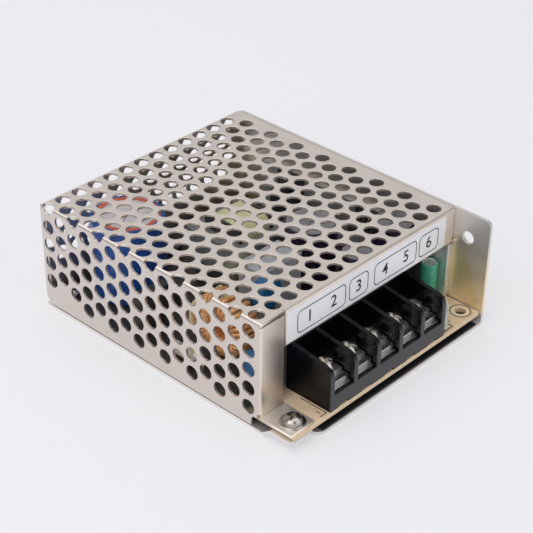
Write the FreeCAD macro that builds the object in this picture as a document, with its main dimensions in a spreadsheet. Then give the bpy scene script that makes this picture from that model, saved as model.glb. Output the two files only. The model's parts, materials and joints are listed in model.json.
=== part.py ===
import FreeCAD, Part
import math
import os
import re

import Sketcher

Vector = FreeCAD.Vector
doc = FreeCAD.newDocument("MeshCasePowerSupply")

# Driving sizes in millimetres. X is the width, Y the length with the terminals at the front (-Y),
# Z the height. The origin is the centre of the underside.
SIZES = {
    # Number of flat sides that stand for a round form: on large pieces and on small ones
    "round_sides": 16,
    "small_sides": 10,
    # Case envelope and sheets
    "case_long": 99.0,
    "case_wide": 82.0,
    "case_tall": 35.0,
    "base_sheet": 1.0,
    "cover_sheet": 0.8,
    "base_bend": 0.6,
    "cover_bend": 0.25,
    "seat_gap": 0.1,
    # Chassis wall and its fixing holes
    "wall_corner": 2.0,
    "wall_hole": 4.0,
    "wall_hole_back": 7.3,
    "wall_hole_down": 7.9,
    "wall_bump": 1.3,
    "bump_proud": 0.9,
    "dimple_wide": 0.8,
    "dimple_deep": 0.6,
    "mount_wide": 55.0,
    "mount_long": 74.0,
    "mount_hole": 3.0,
    # Raised front tab that carries the board corner and the cover's foot
    "tab_wide": 8.6,
    "tab_slit": 0.9,
    "tab_root": 11.5,
    "tab_ramp": 2.8,
    "tab_rise": 2.1,
    "tab_inset": 1.5,
    "base_corner": 3.0,
    # Lug lanced from the base at the back
    "lug_wide": 9.0,
    "lug_tall": 10.2,
    "lug_inset": 1.0,
    "lug_screw_up": 7.4,
    # Embossed board supports
    "boss_wide": 7.2,
    # Screws
    "screw_thread": 3.0,
    "screw_head": 6.0,
    "screw_head_tall": 2.2,
    "thread_proud": 1.0,
    "rear_reach": 5.0,
    "screw_clear": 0.2,
    "thread_clear": 0.05,
    "flat_head": 5.0,
    "flat_head_deep": 0.4,
    # Cover
    "cover_setback": 12.5,
    "flap_tall": 11.4,
    "strip_wide": 9.2,
    "strip_slit": 0.4,
    "strip_seam": 0.15,
    "foot_inset": 0.3,
    "relief_hole": 1.2,
    "notch_long": 3.0,
    "notch_tall": 3.2,
    "notch_corner": 1.0,
    "side_cut_long": 1.6,
    "side_cut_tall": 2.4,
    # Perforation
    "hole_pitch": 6.1,
    "hole_wide": 4.5,
    "hole_sides": 6,
    "cutter_over": 0.8,
    "hole_front": 4.2,
    "hole_margin": 2.9,
    "hole_edge": 4.4,
    "side_drop": 0.72,
    "side_margin": 5.0,
    "back_rows": 4,
    "back_drop": 2.95,
    # Label
    "label_thick": 0.2,
    "label_inset": 0.5,
    "label_wide": 66.7,
    "label_edge": 0.5,
    # Circuit board and film
    "board_thick": 1.6,
    "board_gap": 0.3,
    "board_inset": 0.9,
    "board_screw_side": 3.6,
    "board_screw_end": 4.0,
    "film_thick": 0.4,
    "film_inset": 1.5,
    # Terminal block
    "pole_count": 5,
    "pole_pitch": 9.5,
    "block_left": 15.1,
    "block_wall": 1.4,
    "block_deep": 16.0,
    "block_back": 1.6,
    "block_floor": 6.5,
    "block_front_tall": 13.7,
    "block_back_tall": 15.3,
    "block_round": 2.6,
    "block_corner": 0.8,
    "block_foot_wide": 4.0,
    "block_foot_tall": 0.8,
    "block_foot_deep": 1.2,
    # Contact plates, clamps and terminal screws
    "contact_thick": 0.8,
    "contact_wide": 7.4,
    "contact_front": 1.0,
    "contact_lip": 2.6,
    "contact_drop": 1.6,
    "contact_pin": 1.0,
    "pin_clear": 0.1,
    "clamp_wide": 7.4,
    "clamp_long": 7.0,
    "clamp_thick": 1.0,
    "clamp_play": 0.2,
    "clamp_corner": 0.8,
    "pole_screw": 3.4,
    "pole_head": 6.0,
    "pole_head_tall": 2.3,
    "pole_reach": 7.0,
    "pole_screw_back": 7.6,
    "bore_clear": 0.3,
    "pole_clear": 0.15,
    "bore_spare": 0.7,
    # Heat spreader and power devices on the chassis wall
    "spreader_thick": 2.0,
    "spreader_front": 12.4,
    "spreader_long": 74.0,
    "spreader_up": 5.0,
    "spreader_down": 12.0,
    "device_wide": 10.0,
    "device_up": 3.3,
    "device_body": 9.2,
    "device_deep": 4.5,
    "device_tab": 1.3,
    "device_tab_tall": 6.2,
    "device_hole_down": 2.9,
    "device_hole": 3.6,
    "rectifier_back": 41.5,
    "switch_back": 73.5,
    "lead_thick": 0.8,
    "lead_pitch": 2.54,
    # Output capacitors and inductor
    "filter_1_wide": 16.0,
    "filter_1_tall": 23.9,
    "filter_1_across": 13.6,
    "filter_1_along": 44.1,
    "filter_2_wide": 13.0,
    "filter_2_tall": 23.9,
    "filter_2_across": 30.6,
    "filter_2_along": 27.3,
    "filter_3_wide": 10.0,
    "filter_3_tall": 20.0,
    "filter_3_across": 15.5,
    "filter_3_along": 27.8,
    "inductor_wide": 7.0,
    "inductor_tall": 12.0,
    "inductor_across": 29.6,
    "inductor_along": 40.9,
    "inductor_winding": 6.0,
    "inductor_flange": 1.2,
    # Transformer, with its winding along X
    "core_across": 5.0,
    "core_along": 64.5,
    "core_long": 22.0,
    "core_wide": 22.0,
    "core_deep": 10.0,
    "core_up": 12.3,
    "core_leg": 5.8,
    "core_side": 3.4,
    "core_back": 4.0,
    "bobbin_flange": 1.0,
    "winding_gap": 0.2,
    "winding_bevel": 2.0,
    # Mains side
    "bulk_wide": 22.0,
    "bulk_tall": 25.3,
    "bulk_across": 21.9,
    "bulk_along": 83.2,
    "bridge_long": 15.0,
    "bridge_deep": 3.5,
    "bridge_tall": 11.0,
    "bridge_across": 30.5,
    "bridge_along": 62.5,
    "bridge_lift": 3.0,
    "bridge_leads": 4,
    "thermistor_wide": 12.0,
    "thermistor_thick": 4.8,
    "thermistor_across": 9.5,
    "thermistor_along": 50.5,
    "varistor_wide": 10.0,
    "varistor_thick": 4.0,
    "varistor_across": 32.5,
    "varistor_along": 22.5,
    "thermistor_lift": 7.8,
    "varistor_lift": 2.5,
    "disc_wires": 0.6,
    "fuse_wide": 3.6,
    "fuse_long": 10.5,
    "fuse_cap": 2.0,
    "cap_proud": 0.2,
    "fuse_across": 36.6,
    "fuse_along": 44.0,
    "axial_lift": 1.6,
    "box_long": 16.5,
    "box_deep": 9.5,
    "box_tall": 22.5,
    "box_across": 6.6,
    "box_along": 41.1,
    "safety_capacitor_wide": 11.0,
    "safety_capacitor_thick": 4.2,
    "safety_capacitor_across": 16.0,
    "safety_capacitor_along": 34.1,
    "safety_capacitor_lift": 12.3,
    "choke_across": 26.8,
    "choke_along": 38.4,
    "choke_wide": 17.0,
    "choke_bore": 9.0,
    "choke_deep": 7.0,
    "choke_winding": 1.6,
    "choke_gap": 0.1,
    "choke_split": 2.0,
    "choke_post": 1.4,
    "choke_base_thick": 1.4,
    "choke_base_long": 18.0,
    "choke_base_deep": 12.5,
    # Small parts
    "chip_long": 9.4,
    "chip_pins": 4,
    "chip_wide": 6.4,
    "chip_thick": 3.2,
    "chip_lift": 0.5,
    "chip_across": 4.0,
    "chip_along": 87.5,
    "opto_long": 4.6,
    "opto_pins": 2,
    "opto_across": 9.5,
    "resistor_wide": 3.6,
    "resistor_long": 9.0,
    "resistor_across": 22.5,
    "resistor_along": 84.5,
    "resistor_step": 6.0,
    "resistor_count": 2,
    "diode_wide": 2.7,
    "diode_long": 5.2,
    "diode_across": 25.5,
    "diode_along": 58.5,
    "diode_step": 5.0,
    "diode_count": 2,
    "wire_thick": 0.8,
    "wire_bend": 1.0,
    "small_cap_wide": 5.0,
    "small_cap_tall": 12.5,
    "small_cap_across": 35.0,
    "small_cap_along": 16.4,
    "trimmer_wide": 6.2,
    "trimmer_tall": 4.8,
    "trimmer_across": 27.1,
    "trimmer_along": 11.2,
    "rotor_wide": 3.8,
    "rotor_clear": 0.12,
    "rotor_deep": 2.0,
    "rotor_proud": 0.4,
    "rotor_slot": 0.7,
    "rotor_slot_short": 2.3,
    "rotor_slot_deep": 0.8,
    "led_wide": 3.0,
    "led_rim": 3.5,
    "led_rim_thick": 0.9,
    "led_lift": 4.4,
    "led_tall": 5.4,
    "led_round": 0.8,
    "led_tip": 2.0,
    "led_across": 25.3,
    "led_along": 3.3,
    "led_lead": 0.5,
}

sheet = doc.addObject("Spreadsheet::Sheet", "Sizes")
for row, (word, number) in enumerate(SIZES.items(), start=1):
    sheet.set("A%d" % row, word)
    sheet.set("B%d" % row, str(number))
    sheet.setAlias("B%d" % row, word)
doc.recompute()


def ref(text):
    """Turns the sheet's words in a formula into references to the sheet."""
    return re.sub(r"[a-z]\w*", lambda hit: "Sizes." + hit[0] if hit[0] in SIZES else hit[0], str(text))


def value(text):
    """The present value of a formula over the sheet."""
    return float(sheet.evalExpression(ref(text)))


# Places that several pieces share, as formulas over the sheet
LEFT = "(0 - case_wide / 2)"
RIGHT = "(case_wide / 2)"
FRONT = "(0 - case_long / 2)"
BACK = "(case_long / 2)"
WALL_FACE = "(case_wide / 2 - base_sheet)"
COVER_FRONT = f"({FRONT} + cover_setback)"
COVER_RIGHT = f"({WALL_FACE} - seat_gap)"
STRIP_RIGHT = f"({LEFT} + strip_wide)"
FLAP_LEFT = f"({STRIP_RIGHT} + strip_slit)"
LUG_BACK = f"({BACK} - lug_inset)"
BOARD_BOTTOM = "(base_sheet + tab_rise)"
BOARD_TOP = "(base_sheet + tab_rise + board_thick)"
BOARD_LEFT = f"({LEFT} + cover_sheet + board_gap)"
BOARD_RIGHT = f"({WALL_FACE} - board_gap)"
BOARD_FRONT = f"({FRONT} + board_inset)"
BOARD_BACK = f"({LUG_BACK} - base_sheet - board_gap)"
SCREW_LEFT = f"({BOARD_LEFT} + board_screw_side)"
SCREW_RIGHT = f"({BOARD_RIGHT} - board_screw_side)"
SCREW_FRONT = f"({BOARD_FRONT} + board_screw_end)"
SCREW_BACK = f"({BOARD_BACK} - board_screw_end)"
FOOT_TOP = f"({BOARD_TOP} + cover_sheet)"
BLOCK_LEFT = f"({LEFT} + block_left)"
BLOCK_WIDE = "(pole_count * pole_pitch + block_wall)"
FLOOR = f"({BOARD_TOP} + block_floor)"
BLOCK_TOP_BACK = f"({BOARD_TOP} + block_back_tall)"
POLE_Y = f"({BOARD_FRONT} + pole_screw_back)"
CONTACT_TOP = f"({FLOOR} + contact_thick)"
CLAMP_TOP = f"({CONTACT_TOP} + clamp_thick)"
SPREADER_FACE = f"({WALL_FACE} - spreader_thick)"
DEVICE_FOOT = f"({BOARD_TOP} + device_up)"
DEVICE_SCREW_UP = f"({DEVICE_FOOT} + device_body + device_tab_tall - device_hole_down)"
DEVICE_PLACES = {"output_rectifier": f"({FRONT} + rectifier_back)",
                 "switching_transistor": f"({FRONT} + switch_back)"}


def pole_x(pole):
    return f"({BLOCK_LEFT} + block_wall / 2 + pole_pitch * ({pole} + 0.5))"


def rectangle(x0, x1, y0, y1):
    return [(x0, y0), (x1, y0), (x1, y1), (x0, y1)]


def body(name):
    return doc.addObject("PartDesign::Body", name)


def sketch(owner, name, plane, at, corners, circles=()):
    """An outline of straight lines, or circles, on one of a body's own planes, with every point bound."""
    drawing = owner.newObject("Sketcher::SketchObject", name)
    origin_plane = next(item for item in owner.Origin.OriginFeatures if item.Role == plane)
    drawing.AttachmentSupport = (origin_plane, "")
    drawing.MapMode = "FlatFace"
    offset = f"0 - ({at})" if plane == "XZ_Plane" else at
    drawing.setExpression("AttachmentOffset.Base.z", ref(offset))
    points = [Vector(value(across), value(up), 0) for across, up in corners]
    for index, point in enumerate(points):
        drawing.addGeometry(Part.LineSegment(point, points[(index + 1) % len(points)]), False)
    for index in range(len(points)):
        drawing.addConstraint(Sketcher.Constraint("Coincident", index, 2, (index + 1) % len(points), 1))
    for index, (across, up) in enumerate(corners):
        bind_point(drawing, index, 1, across, up)
    for across, up, radius in circles:
        centre = Vector(value(across), value(up), 0)
        circle = drawing.addGeometry(Part.Circle(centre, Vector(0, 0, 1), value(radius)), False)
        bind_point(drawing, circle, 3, across, up)
        rule = drawing.addConstraint(Sketcher.Constraint("Radius", circle, value(radius)))
        drawing.setExpression(f"Constraints[{rule}]", ref(radius))
    return drawing


def bind_point(drawing, geometry, end, across, up):
    for kind, text in (("DistanceX", across), ("DistanceY", up)):
        rule = drawing.addConstraint(Sketcher.Constraint(kind, -1, 1, geometry, end, value(text)))
        drawing.setExpression(f"Constraints[{rule}]", ref(text))


def pad(owner, name, plane, at, thickness, corners=(), circles=()):
    """Adds material from a plane towards the axis's positive side."""
    feature = owner.newObject("PartDesign::Pad", name)
    feature.Profile = sketch(owner, name + "_outline", plane, at, corners, circles)
    feature.Reversed = plane == "XZ_Plane"
    feature.setExpression("Length", ref(thickness))
    doc.recompute()
    return feature


def pocket(owner, name, plane, at, depth, corners=(), circles=()):
    """Cuts from a plane towards the axis's positive side, and makes sure that it has cut."""
    before = owner.Shape.Volume
    feature = owner.newObject("PartDesign::Pocket", name)
    feature.Profile = sketch(owner, name + "_outline", plane, at, corners, circles)
    feature.Reversed = plane != "XZ_Plane"
    feature.setExpression("Length", ref(depth))
    doc.recompute()
    if owner.Shape.Volume >= before:
        raise ValueError(name + " cuts nothing")
    return feature


def edges_on(shape, axis, **place):
    """Names of the straight edges along an axis whose middle has the given coordinates."""
    direction = {"x": Vector(1, 0, 0), "y": Vector(0, 1, 0), "z": Vector(0, 0, 1)}[axis]
    names = []
    for number, edge in enumerate(shape.Edges, start=1):
        ends = [vertex.Point for vertex in edge.Vertexes]
        if len(ends) < 2 or edge.Length > (ends[1] - ends[0]).Length + 1e-6:
            continue
        if (ends[1] - ends[0]).cross(direction).Length > 1e-6:
            continue
        middle = (ends[0] + ends[1]) / 2
        if all(abs(getattr(middle, key) - value(text)) < 1e-4 for key, text in place.items()):
            names.append("Edge%d" % number)
    return names


def round_edges(owner, name, radius, axis, **place):
    """Rounds the straight edges of a body that run along an axis at the given place."""
    round_named_edges(owner, name, radius, edges_on(owner.Tip.Shape, axis, **place))


def round_named_edges(owner, name, radius, edges):
    base = owner.Tip
    feature = owner.newObject("PartDesign::Fillet", name)
    feature.Base = (base, edges)
    feature.setExpression("Radius", ref(radius))
    doc.recompute()


def repeat(owner, name, features, direction, spacing, count):
    """Repeats features of a body along one axis of the body."""
    pattern = owner.newObject("PartDesign::LinearPattern", name)
    pattern.Originals = features
    axis = next(item for item in owner.Origin.OriginFeatures if item.Role == direction)
    pattern.Direction = (axis, [""])
    pattern.Mode = "Spacing"
    pattern.setExpression("Offset", ref(spacing))
    pattern.setExpression("Occurrences", ref(count))
    owner.Tip = pattern
    doc.recompute()
    return pattern


def place(item, x=0, y=0, z=0):
    for axis, text in (("x", x), ("y", y), ("z", z)):
        item.setExpression("Placement.Base." + axis, ref(text))
    return item


def box(name, x0, y0, z0, long, wide, tall):
    """A box from its lowest corner, with its lengths along X, Y and Z."""
    item = doc.addObject("Part::Box", name)
    for key, text in (("Length", long), ("Width", wide), ("Height", tall)):
        item.setExpression(key, ref(text))
    return place(item, x0, y0, z0)


TURNS = {"z": FreeCAD.Rotation(), "x": FreeCAD.Rotation(Vector(0, 1, 0), 90),
         "y": FreeCAD.Rotation(Vector(1, 0, 0), -90)}


def post(name, x, y, z, diameter, tall, axis="z", sides="small_sides"):
    """A round form with flat sides, from the centre of its lower face along an axis."""
    item = doc.addObject("Part::Prism", name)
    item.setExpression("Polygon", ref(sides))
    item.setExpression("Circumradius", ref(f"({diameter}) / 2"))
    item.setExpression("Height", ref(tall))
    item.Placement = FreeCAD.Placement(Vector(), TURNS[axis])
    return place(item, x, y, z)


def fuse(name, items):
    item = doc.addObject("Part::MultiFuse", name)
    item.Shapes = items
    item.Refine = True
    return item


def cut(name, base, tools):
    item = doc.addObject("Part::Cut", name)
    item.Base = base
    item.Tool = tools[0] if len(tools) == 1 else fuse(name + "_tools", tools)
    return item


def group(name, items):
    item = doc.addObject("Part::Compound", name)
    item.Links = items
    return item


# The finished sub-parts, by the name of their node
parts = {}


def keep(item, name=None):
    """Hands a finished sub-part in under its name."""
    item.Label = name or item.Name
    parts[item.Label] = item
    return item


# Chassis: one sheet folded to an L, with a raised tab, board supports and a lanced lug

def make_chassis():
    folded = body("chassis_sheet")
    section = [(LEFT, "0"), (RIGHT, "0"), (RIGHT, "case_tall"), (WALL_FACE, "case_tall"),
               (WALL_FACE, "base_sheet"), (LEFT, "base_sheet")]
    pad(folded, "folded_sheet", "XZ_Plane", FRONT, "case_long", section)
    round_edges(folded, "fold_outside", "base_bend + base_sheet", "y", x=RIGHT, z="0")
    round_edges(folded, "fold_inside", "base_bend", "y", x=WALL_FACE, z="base_sheet")
    round_edges(folded, "wall_front_corner", "wall_corner", "x", y=FRONT, z="case_tall")
    round_edges(folded, "wall_back_corner", "wall_corner", "x", y=BACK, z="case_tall")
    pocket(folded, "tab_window", "XY_Plane", "0", "base_sheet",
           rectangle(LEFT, f"{LEFT} + tab_wide + tab_slit", FRONT, f"{FRONT} + tab_root"))
    round_edges(folded, "base_front_corner", "base_corner", "z", x=f"{LEFT} + tab_wide + tab_slit", y=FRONT)
    root = f"{FRONT} + tab_root"
    ramp = f"{root} - tab_ramp"
    end = f"{FRONT} + tab_inset"
    pad(folded, "raised_tab", "YZ_Plane", LEFT, "tab_wide",
        [(root, "0"), (root, "base_sheet"), (ramp, BOARD_BOTTOM), (end, BOARD_BOTTOM),
         (end, "tab_rise"), (ramp, "tab_rise")])
    lug_left = "0 - lug_wide / 2"
    pocket(folded, "lug_window", "XY_Plane", "0", "base_sheet",
           rectangle(lug_left, "lug_wide / 2", f"{LUG_BACK} - lug_tall", f"{LUG_BACK} - base_sheet"))
    pad(folded, "lug", "XZ_Plane", f"{LUG_BACK} - base_sheet", "base_sheet",
        rectangle(lug_left, "lug_wide / 2", "0", "lug_tall"))
    pocket(folded, "wall_mount_hole", "YZ_Plane", WALL_FACE, "base_sheet",
           circles=[(f"{FRONT} + wall_hole_back", "case_tall - wall_hole_down", "wall_hole / 2")])
    pocket(folded, "base_mount_holes", "XY_Plane", "0", "base_sheet",
           circles=[(f"{side} * mount_wide / 2", f"{end} * mount_long / 2", "mount_hole / 2")
                    for side in (-1, 1) for end in (-1, 1)])
    raised = [folded]
    hollows = [post("lug_screw_hole", "0", f"{LUG_BACK} - base_sheet", "lug_screw_up", "screw_thread",
                    "base_sheet", "y"),
               post("tab_screw_hole", SCREW_LEFT, SCREW_FRONT, "tab_rise", "screw_thread", "base_sheet")]
    for name, y in DEVICE_PLACES.items():
        hollows.append(post(f"wall_hole_{name}", WALL_FACE, y, DEVICE_SCREW_UP, "screw_thread",
                            "base_sheet", "x"))
    for side, x in (("left", SCREW_LEFT), ("right", SCREW_RIGHT)):
        raised.append(post(f"boss_{side}", x, SCREW_BACK, "base_sheet", "boss_wide", "tab_rise"))
        hollows.append(post(f"boss_hollow_{side}", x, SCREW_BACK, "0", "boss_wide - 2 * base_sheet",
                            "tab_rise"))
        hollows.append(post(f"boss_hole_{side}", x, SCREW_BACK, "0", "screw_thread", BOARD_BOTTOM))
    bump_y = f"{COVER_FRONT} - seat_gap - wall_bump / 2"
    bump_z = "case_tall - flap_tall + wall_bump / 2"
    raised.append(post("flap_stop", f"{WALL_FACE} - bump_proud", bump_y, bump_z, "wall_bump",
                       "bump_proud", "x"))
    hollows.append(post("flap_stop_dimple", f"{RIGHT} - dimple_deep", bump_y, bump_z, "dimple_wide",
                        "dimple_deep", "x"))
    keep(cut("chassis", fuse("chassis_raised", raised), hollows))




# Cover: one perforated sheet folded over the top, the left side, the front and the back

def make_cover():
    blank = body("cover_blank")
    under_top = "case_tall - cover_sheet"
    section = [(LEFT, "base_sheet"), (LEFT, "case_tall"), (COVER_RIGHT, "case_tall"),
               (COVER_RIGHT, under_top), (f"{LEFT} + cover_sheet", under_top),
               (f"{LEFT} + cover_sheet", "base_sheet")]
    pad(blank, "top_and_side", "XZ_Plane", COVER_FRONT, "case_long - cover_setback", section)
    fold = "cover_bend + cover_sheet"
    round_edges(blank, "side_fold_outside", fold, "y", x=LEFT, z="case_tall")
    round_edges(blank, "side_fold_inside", "cover_bend", "y", x=f"{LEFT} + cover_sheet", z=under_top)
    pad(blank, "front_flap", "XZ_Plane", COVER_FRONT, "cover_sheet",
        rectangle(FLAP_LEFT, COVER_RIGHT, "case_tall - flap_tall", under_top))
    flap_back = f"{BACK} - cover_sheet"
    back_left = f"{LEFT} + {fold} + strip_slit"
    pad(blank, "back_flap", "XZ_Plane", flap_back, "cover_sheet",
        rectangle(back_left, COVER_RIGHT, "base_sheet", under_top))
    pocket(blank, "flap_slit", "XY_Plane", f"case_tall - 2 * ({fold})", f"2 * ({fold})",
           rectangle(STRIP_RIGHT, FLAP_LEFT, COVER_FRONT, f"{COVER_FRONT} + {fold}"))
    front_fold = [edge for edge in edges_on(blank.Tip.Shape, "x", y=COVER_FRONT, z="case_tall")
                  if blank.Tip.Shape.getElement(edge).CenterOfMass.x > value(FLAP_LEFT)]
    round_named_edges(blank, "front_fold", fold, front_fold)
    pocket(blank, "back_slit", "XY_Plane", f"case_tall - 2 * ({fold})", f"2 * ({fold})",
           rectangle(f"{LEFT} + {fold}", back_left, f"{BACK} - ({fold})", BACK))
    back_fold = [edge for edge in edges_on(blank.Tip.Shape, "x", y=BACK, z="case_tall")
                 if blank.Tip.Shape.getElement(edge).Length > value("case_wide") / 2]
    round_named_edges(blank, "back_fold", fold, back_fold)
    strip_top = f"{under_top} - strip_seam"
    pad(blank, "front_strip", "XZ_Plane", COVER_FRONT, "cover_sheet",
        rectangle(f"{LEFT} + cover_sheet", STRIP_RIGHT, BOARD_TOP, strip_top))
    pad(blank, "foot", "XY_Plane", BOARD_TOP, "cover_sheet",
        rectangle(LEFT, STRIP_RIGHT, f"{BOARD_FRONT} + foot_inset", COVER_FRONT))
    pocket(blank, "back_corner", "XZ_Plane", flap_back, "cover_sheet",
           [(COVER_RIGHT, "base_sheet"), (COVER_RIGHT, "base_sheet + base_bend"),
            (f"{COVER_RIGHT} - base_bend", "base_sheet")])
    notch = rectangle(COVER_FRONT, f"{COVER_FRONT} + notch_long", "base_sheet", "base_sheet + notch_tall")
    pocket(blank, "side_notch", "YZ_Plane", LEFT, "cover_sheet", notch)
    round_edges(blank, "notch_corner", "notch_corner", "x",
                y=f"{COVER_FRONT} + notch_long", z="base_sheet + notch_tall")
    pocket(blank, "side_back_corner", "YZ_Plane", LEFT, "cover_sheet",
           [(BACK, "base_sheet"), (BACK, "base_sheet + side_cut_tall"),
            (f"{BACK} - side_cut_long", "base_sheet")])
    foot_hole = post("foot_hole", SCREW_LEFT, SCREW_FRONT, BOARD_TOP, "screw_thread + screw_clear * 2",
                     "cover_sheet")
    rear_hole = post("rear_hole", "0", flap_back, "lug_screw_up", "screw_thread + screw_clear * 2",
                     "cover_sheet", "y")
    rear_seat = post("rear_seat", "0", f"{BACK} - flat_head_deep", "lug_screw_up",
                     "flat_head + screw_clear * 2", "flat_head_deep", "y")
    cutters = doc.addObject("Part::Feature", "perforation_cutters")
    cutters.Shape = perforation()
    relief = post("relief_hole", f"{STRIP_RIGHT} + strip_slit / 2", f"{COVER_FRONT} + {fold}", under_top,
                  "relief_hole", "cover_sheet")
    drilled = cut("cover_drilled", blank, [foot_hole, rear_hole, rear_seat, relief])
    keep(cut("cover", drilled, [cutters]))


def hole_cutter(centre, along, up):
    """A many-sided prism through the sheet: its axis runs along one vector and a flat faces another."""
    sides = int(value("hole_sides"))
    radius = value("hole_wide") / 2
    reach = value("cover_sheet + 2 * cutter_over")
    side = along.cross(up)
    corners = []
    for number in range(sides + 1):
        angle = 2 * math.pi * (number + 0.5) / sides
        corners.append(centre - along * reach / 2 + up * radius * math.cos(angle)
                       + side * radius * math.sin(angle))
    return Part.Face(Part.makePolygon(corners)).extrude(along * reach)


def perforation():
    """Staggered holes over the top, the left side and the back, with one line bent over the side fold."""
    pitch = value("hole_pitch")
    column = pitch * math.sqrt(3) / 2
    left = value(LEFT)
    tall = value("case_tall")
    middle = value("cover_sheet") / 2
    first = value(f"{COVER_FRONT} + hole_front")
    columns = int((value(f"{BACK} - hole_margin") - first) / column) + 1
    across = int((value(f"{COVER_RIGHT} - hole_edge") - left) / pitch - 0.5) + 1
    down = int((tall - value("side_drop + base_sheet + side_margin")) / pitch - 0.5) + 1
    up_z = Vector(0, 0, 1)
    along_y = Vector(0, 1, 0)
    cutters = []
    for number in range(columns):
        y = first + number * column
        odd = number % 2
        start = 1 if odd else 0.5
        for step in range(across - odd):
            x = left + (start + step) * pitch
            beside_fold = step == 0 and not odd
            flat_side = Vector(1, 0, 0) if beside_fold else along_y
            cutters.append(hole_cutter(Vector(x, y, tall - middle), up_z, flat_side))
        for step in range(down - odd):
            z = tall - value("side_drop") - (start + step) * pitch
            plain_corner = number == columns - 2 and step == down - 1
            if not plain_corner:
                cutters.append(hole_cutter(Vector(left + middle, y, z), Vector(-1, 0, 0), along_y))
        if odd:
            slope = Vector(-1, 0, 1).normalize()
            corner = Vector(left + middle, y, tall - middle)
            cutters.append(hole_cutter(corner, slope, along_y))
    for row in range(int(value("back_rows"))):
        z = tall - value("back_drop") - row * column
        odd = (columns + row) % 2
        start = 1 if odd else 0.5
        for step in range(across - odd):
            x = left + (start + step) * pitch
            cutters.append(hole_cutter(Vector(x, value(BACK) - middle, z), along_y, up_z))
    return Part.makeCompound(cutters)


# Label strip on the front flap

def make_label():
    low = "case_tall - flap_tall + label_edge"
    keep(box("label_strip", f"{FLAP_LEFT} + label_inset", f"{COVER_FRONT} - label_thick", low,
             "label_wide", "label_thick", f"case_tall - cover_bend - cover_sheet - ({low})"))


# Circuit board with its four fixing holes, and the insulating film below it

def make_board():
    laminate = box("board_sheet", BOARD_LEFT, BOARD_FRONT, BOARD_BOTTOM, f"{BOARD_RIGHT} - {BOARD_LEFT}",
                   f"{BOARD_BACK} - {BOARD_FRONT}", "board_thick")
    corners = [(x, y) for x in (SCREW_LEFT, SCREW_RIGHT) for y in (SCREW_FRONT, SCREW_BACK)]
    holes = [post(f"board_hole_{number}", x, y, BOARD_BOTTOM, "screw_thread + screw_clear * 2", "board_thick")
             for number, (x, y) in enumerate(corners, start=1)]
    keep(cut("circuit_board", laminate, holes))
    film = body("film_blank")
    left = f"{BOARD_LEFT} + film_inset"
    right = f"{BOARD_RIGHT} - film_inset"
    front = f"{BOARD_FRONT} + film_inset"
    beside_tab = f"{LEFT} + tab_wide + tab_slit + film_inset"
    behind_tab = f"{FRONT} + tab_root + film_inset"
    back = f"{BOARD_BACK} - film_inset"
    pad(film, "film_sheet", "XY_Plane", "base_sheet", "film_thick",
        [(beside_tab, front), (right, front), (right, back), (left, back), (left, behind_tab),
         (beside_tab, behind_tab)])
    openings = [post(f"boss_opening_{side}", x, SCREW_BACK, "base_sheet", "boss_wide + board_gap * 2",
                     "film_thick") for side, x in (("left", SCREW_LEFT), ("right", SCREW_RIGHT))]
    keep(cut("insulating_film", film, openings))


# Terminal block: a moulding with open bays between barrier walls

def make_terminal_block():
    block = body("block_moulding")
    back = f"{BOARD_FRONT} + block_deep"
    inside = f"{back} - block_back"
    pad(block, "block_rail", "YZ_Plane", BLOCK_LEFT, BLOCK_WIDE,
        [(BOARD_FRONT, BOARD_TOP), (back, BOARD_TOP), (back, BLOCK_TOP_BACK), (inside, BLOCK_TOP_BACK),
         (inside, FLOOR), (BOARD_FRONT, FLOOR)])
    barrier = pad(block, "barrier", "YZ_Plane", BLOCK_LEFT, "block_wall",
                  [(BOARD_FRONT, BOARD_TOP), (inside, BOARD_TOP), (inside, BLOCK_TOP_BACK),
                   (f"{BOARD_FRONT} + block_round", f"{BOARD_TOP} + block_front_tall"),
                   (f"{BOARD_FRONT} + block_corner", f"{BOARD_TOP} + block_front_tall - block_corner"),
                   (BOARD_FRONT, f"{BOARD_TOP} + block_front_tall - block_round")])
    repeat(block, "barriers", [barrier], "X_Axis", "pole_pitch", "pole_count + 1")
    slot_left = f"{pole_x(0)} - contact_pin / 2 - pin_clear"
    slot_front = f"{inside} - contact_pin - 2 * pin_clear"
    slot = pocket(block, "pin_slot", "XY_Plane", BOARD_TOP, "block_floor",
                  rectangle(slot_left, f"{pole_x(0)} + contact_pin / 2 + pin_clear", slot_front, inside))
    repeat(block, "pin_slots", [slot], "X_Axis", "pole_pitch", "pole_count")
    recess = pocket(block, "front_recess", "XY_Plane", BOARD_TOP, "block_foot_tall",
                    rectangle(f"{pole_x(0)} - block_foot_wide / 2", f"{pole_x(0)} + block_foot_wide / 2",
                              BOARD_FRONT, f"{BOARD_FRONT} + block_foot_deep"))
    repeat(block, "front_recesses", [recess], "X_Axis", "pole_pitch", "pole_count")
    step = pocket(block, "contact_step", "XY_Plane", f"{FLOOR} - contact_drop", "contact_drop",
                  rectangle(f"{BLOCK_LEFT} + block_wall", f"{BLOCK_LEFT} + pole_pitch",
                            BOARD_FRONT, f"{BOARD_FRONT} + contact_lip"))
    repeat(block, "contact_steps", [step], "X_Axis", "pole_pitch", "pole_count")
    bores = [post(f"screw_bore_{pole + 1}", pole_x(pole), POLE_Y, f"{CLAMP_TOP} - pole_reach - bore_spare",
                  "pole_screw + 2 * bore_clear", "pole_reach + bore_spare")
             for pole in range(int(value("pole_count")))]
    keep(cut("terminal_block", block, bores))


# Contact plates: one bent strip in each bay, with its pin down to the board

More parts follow.
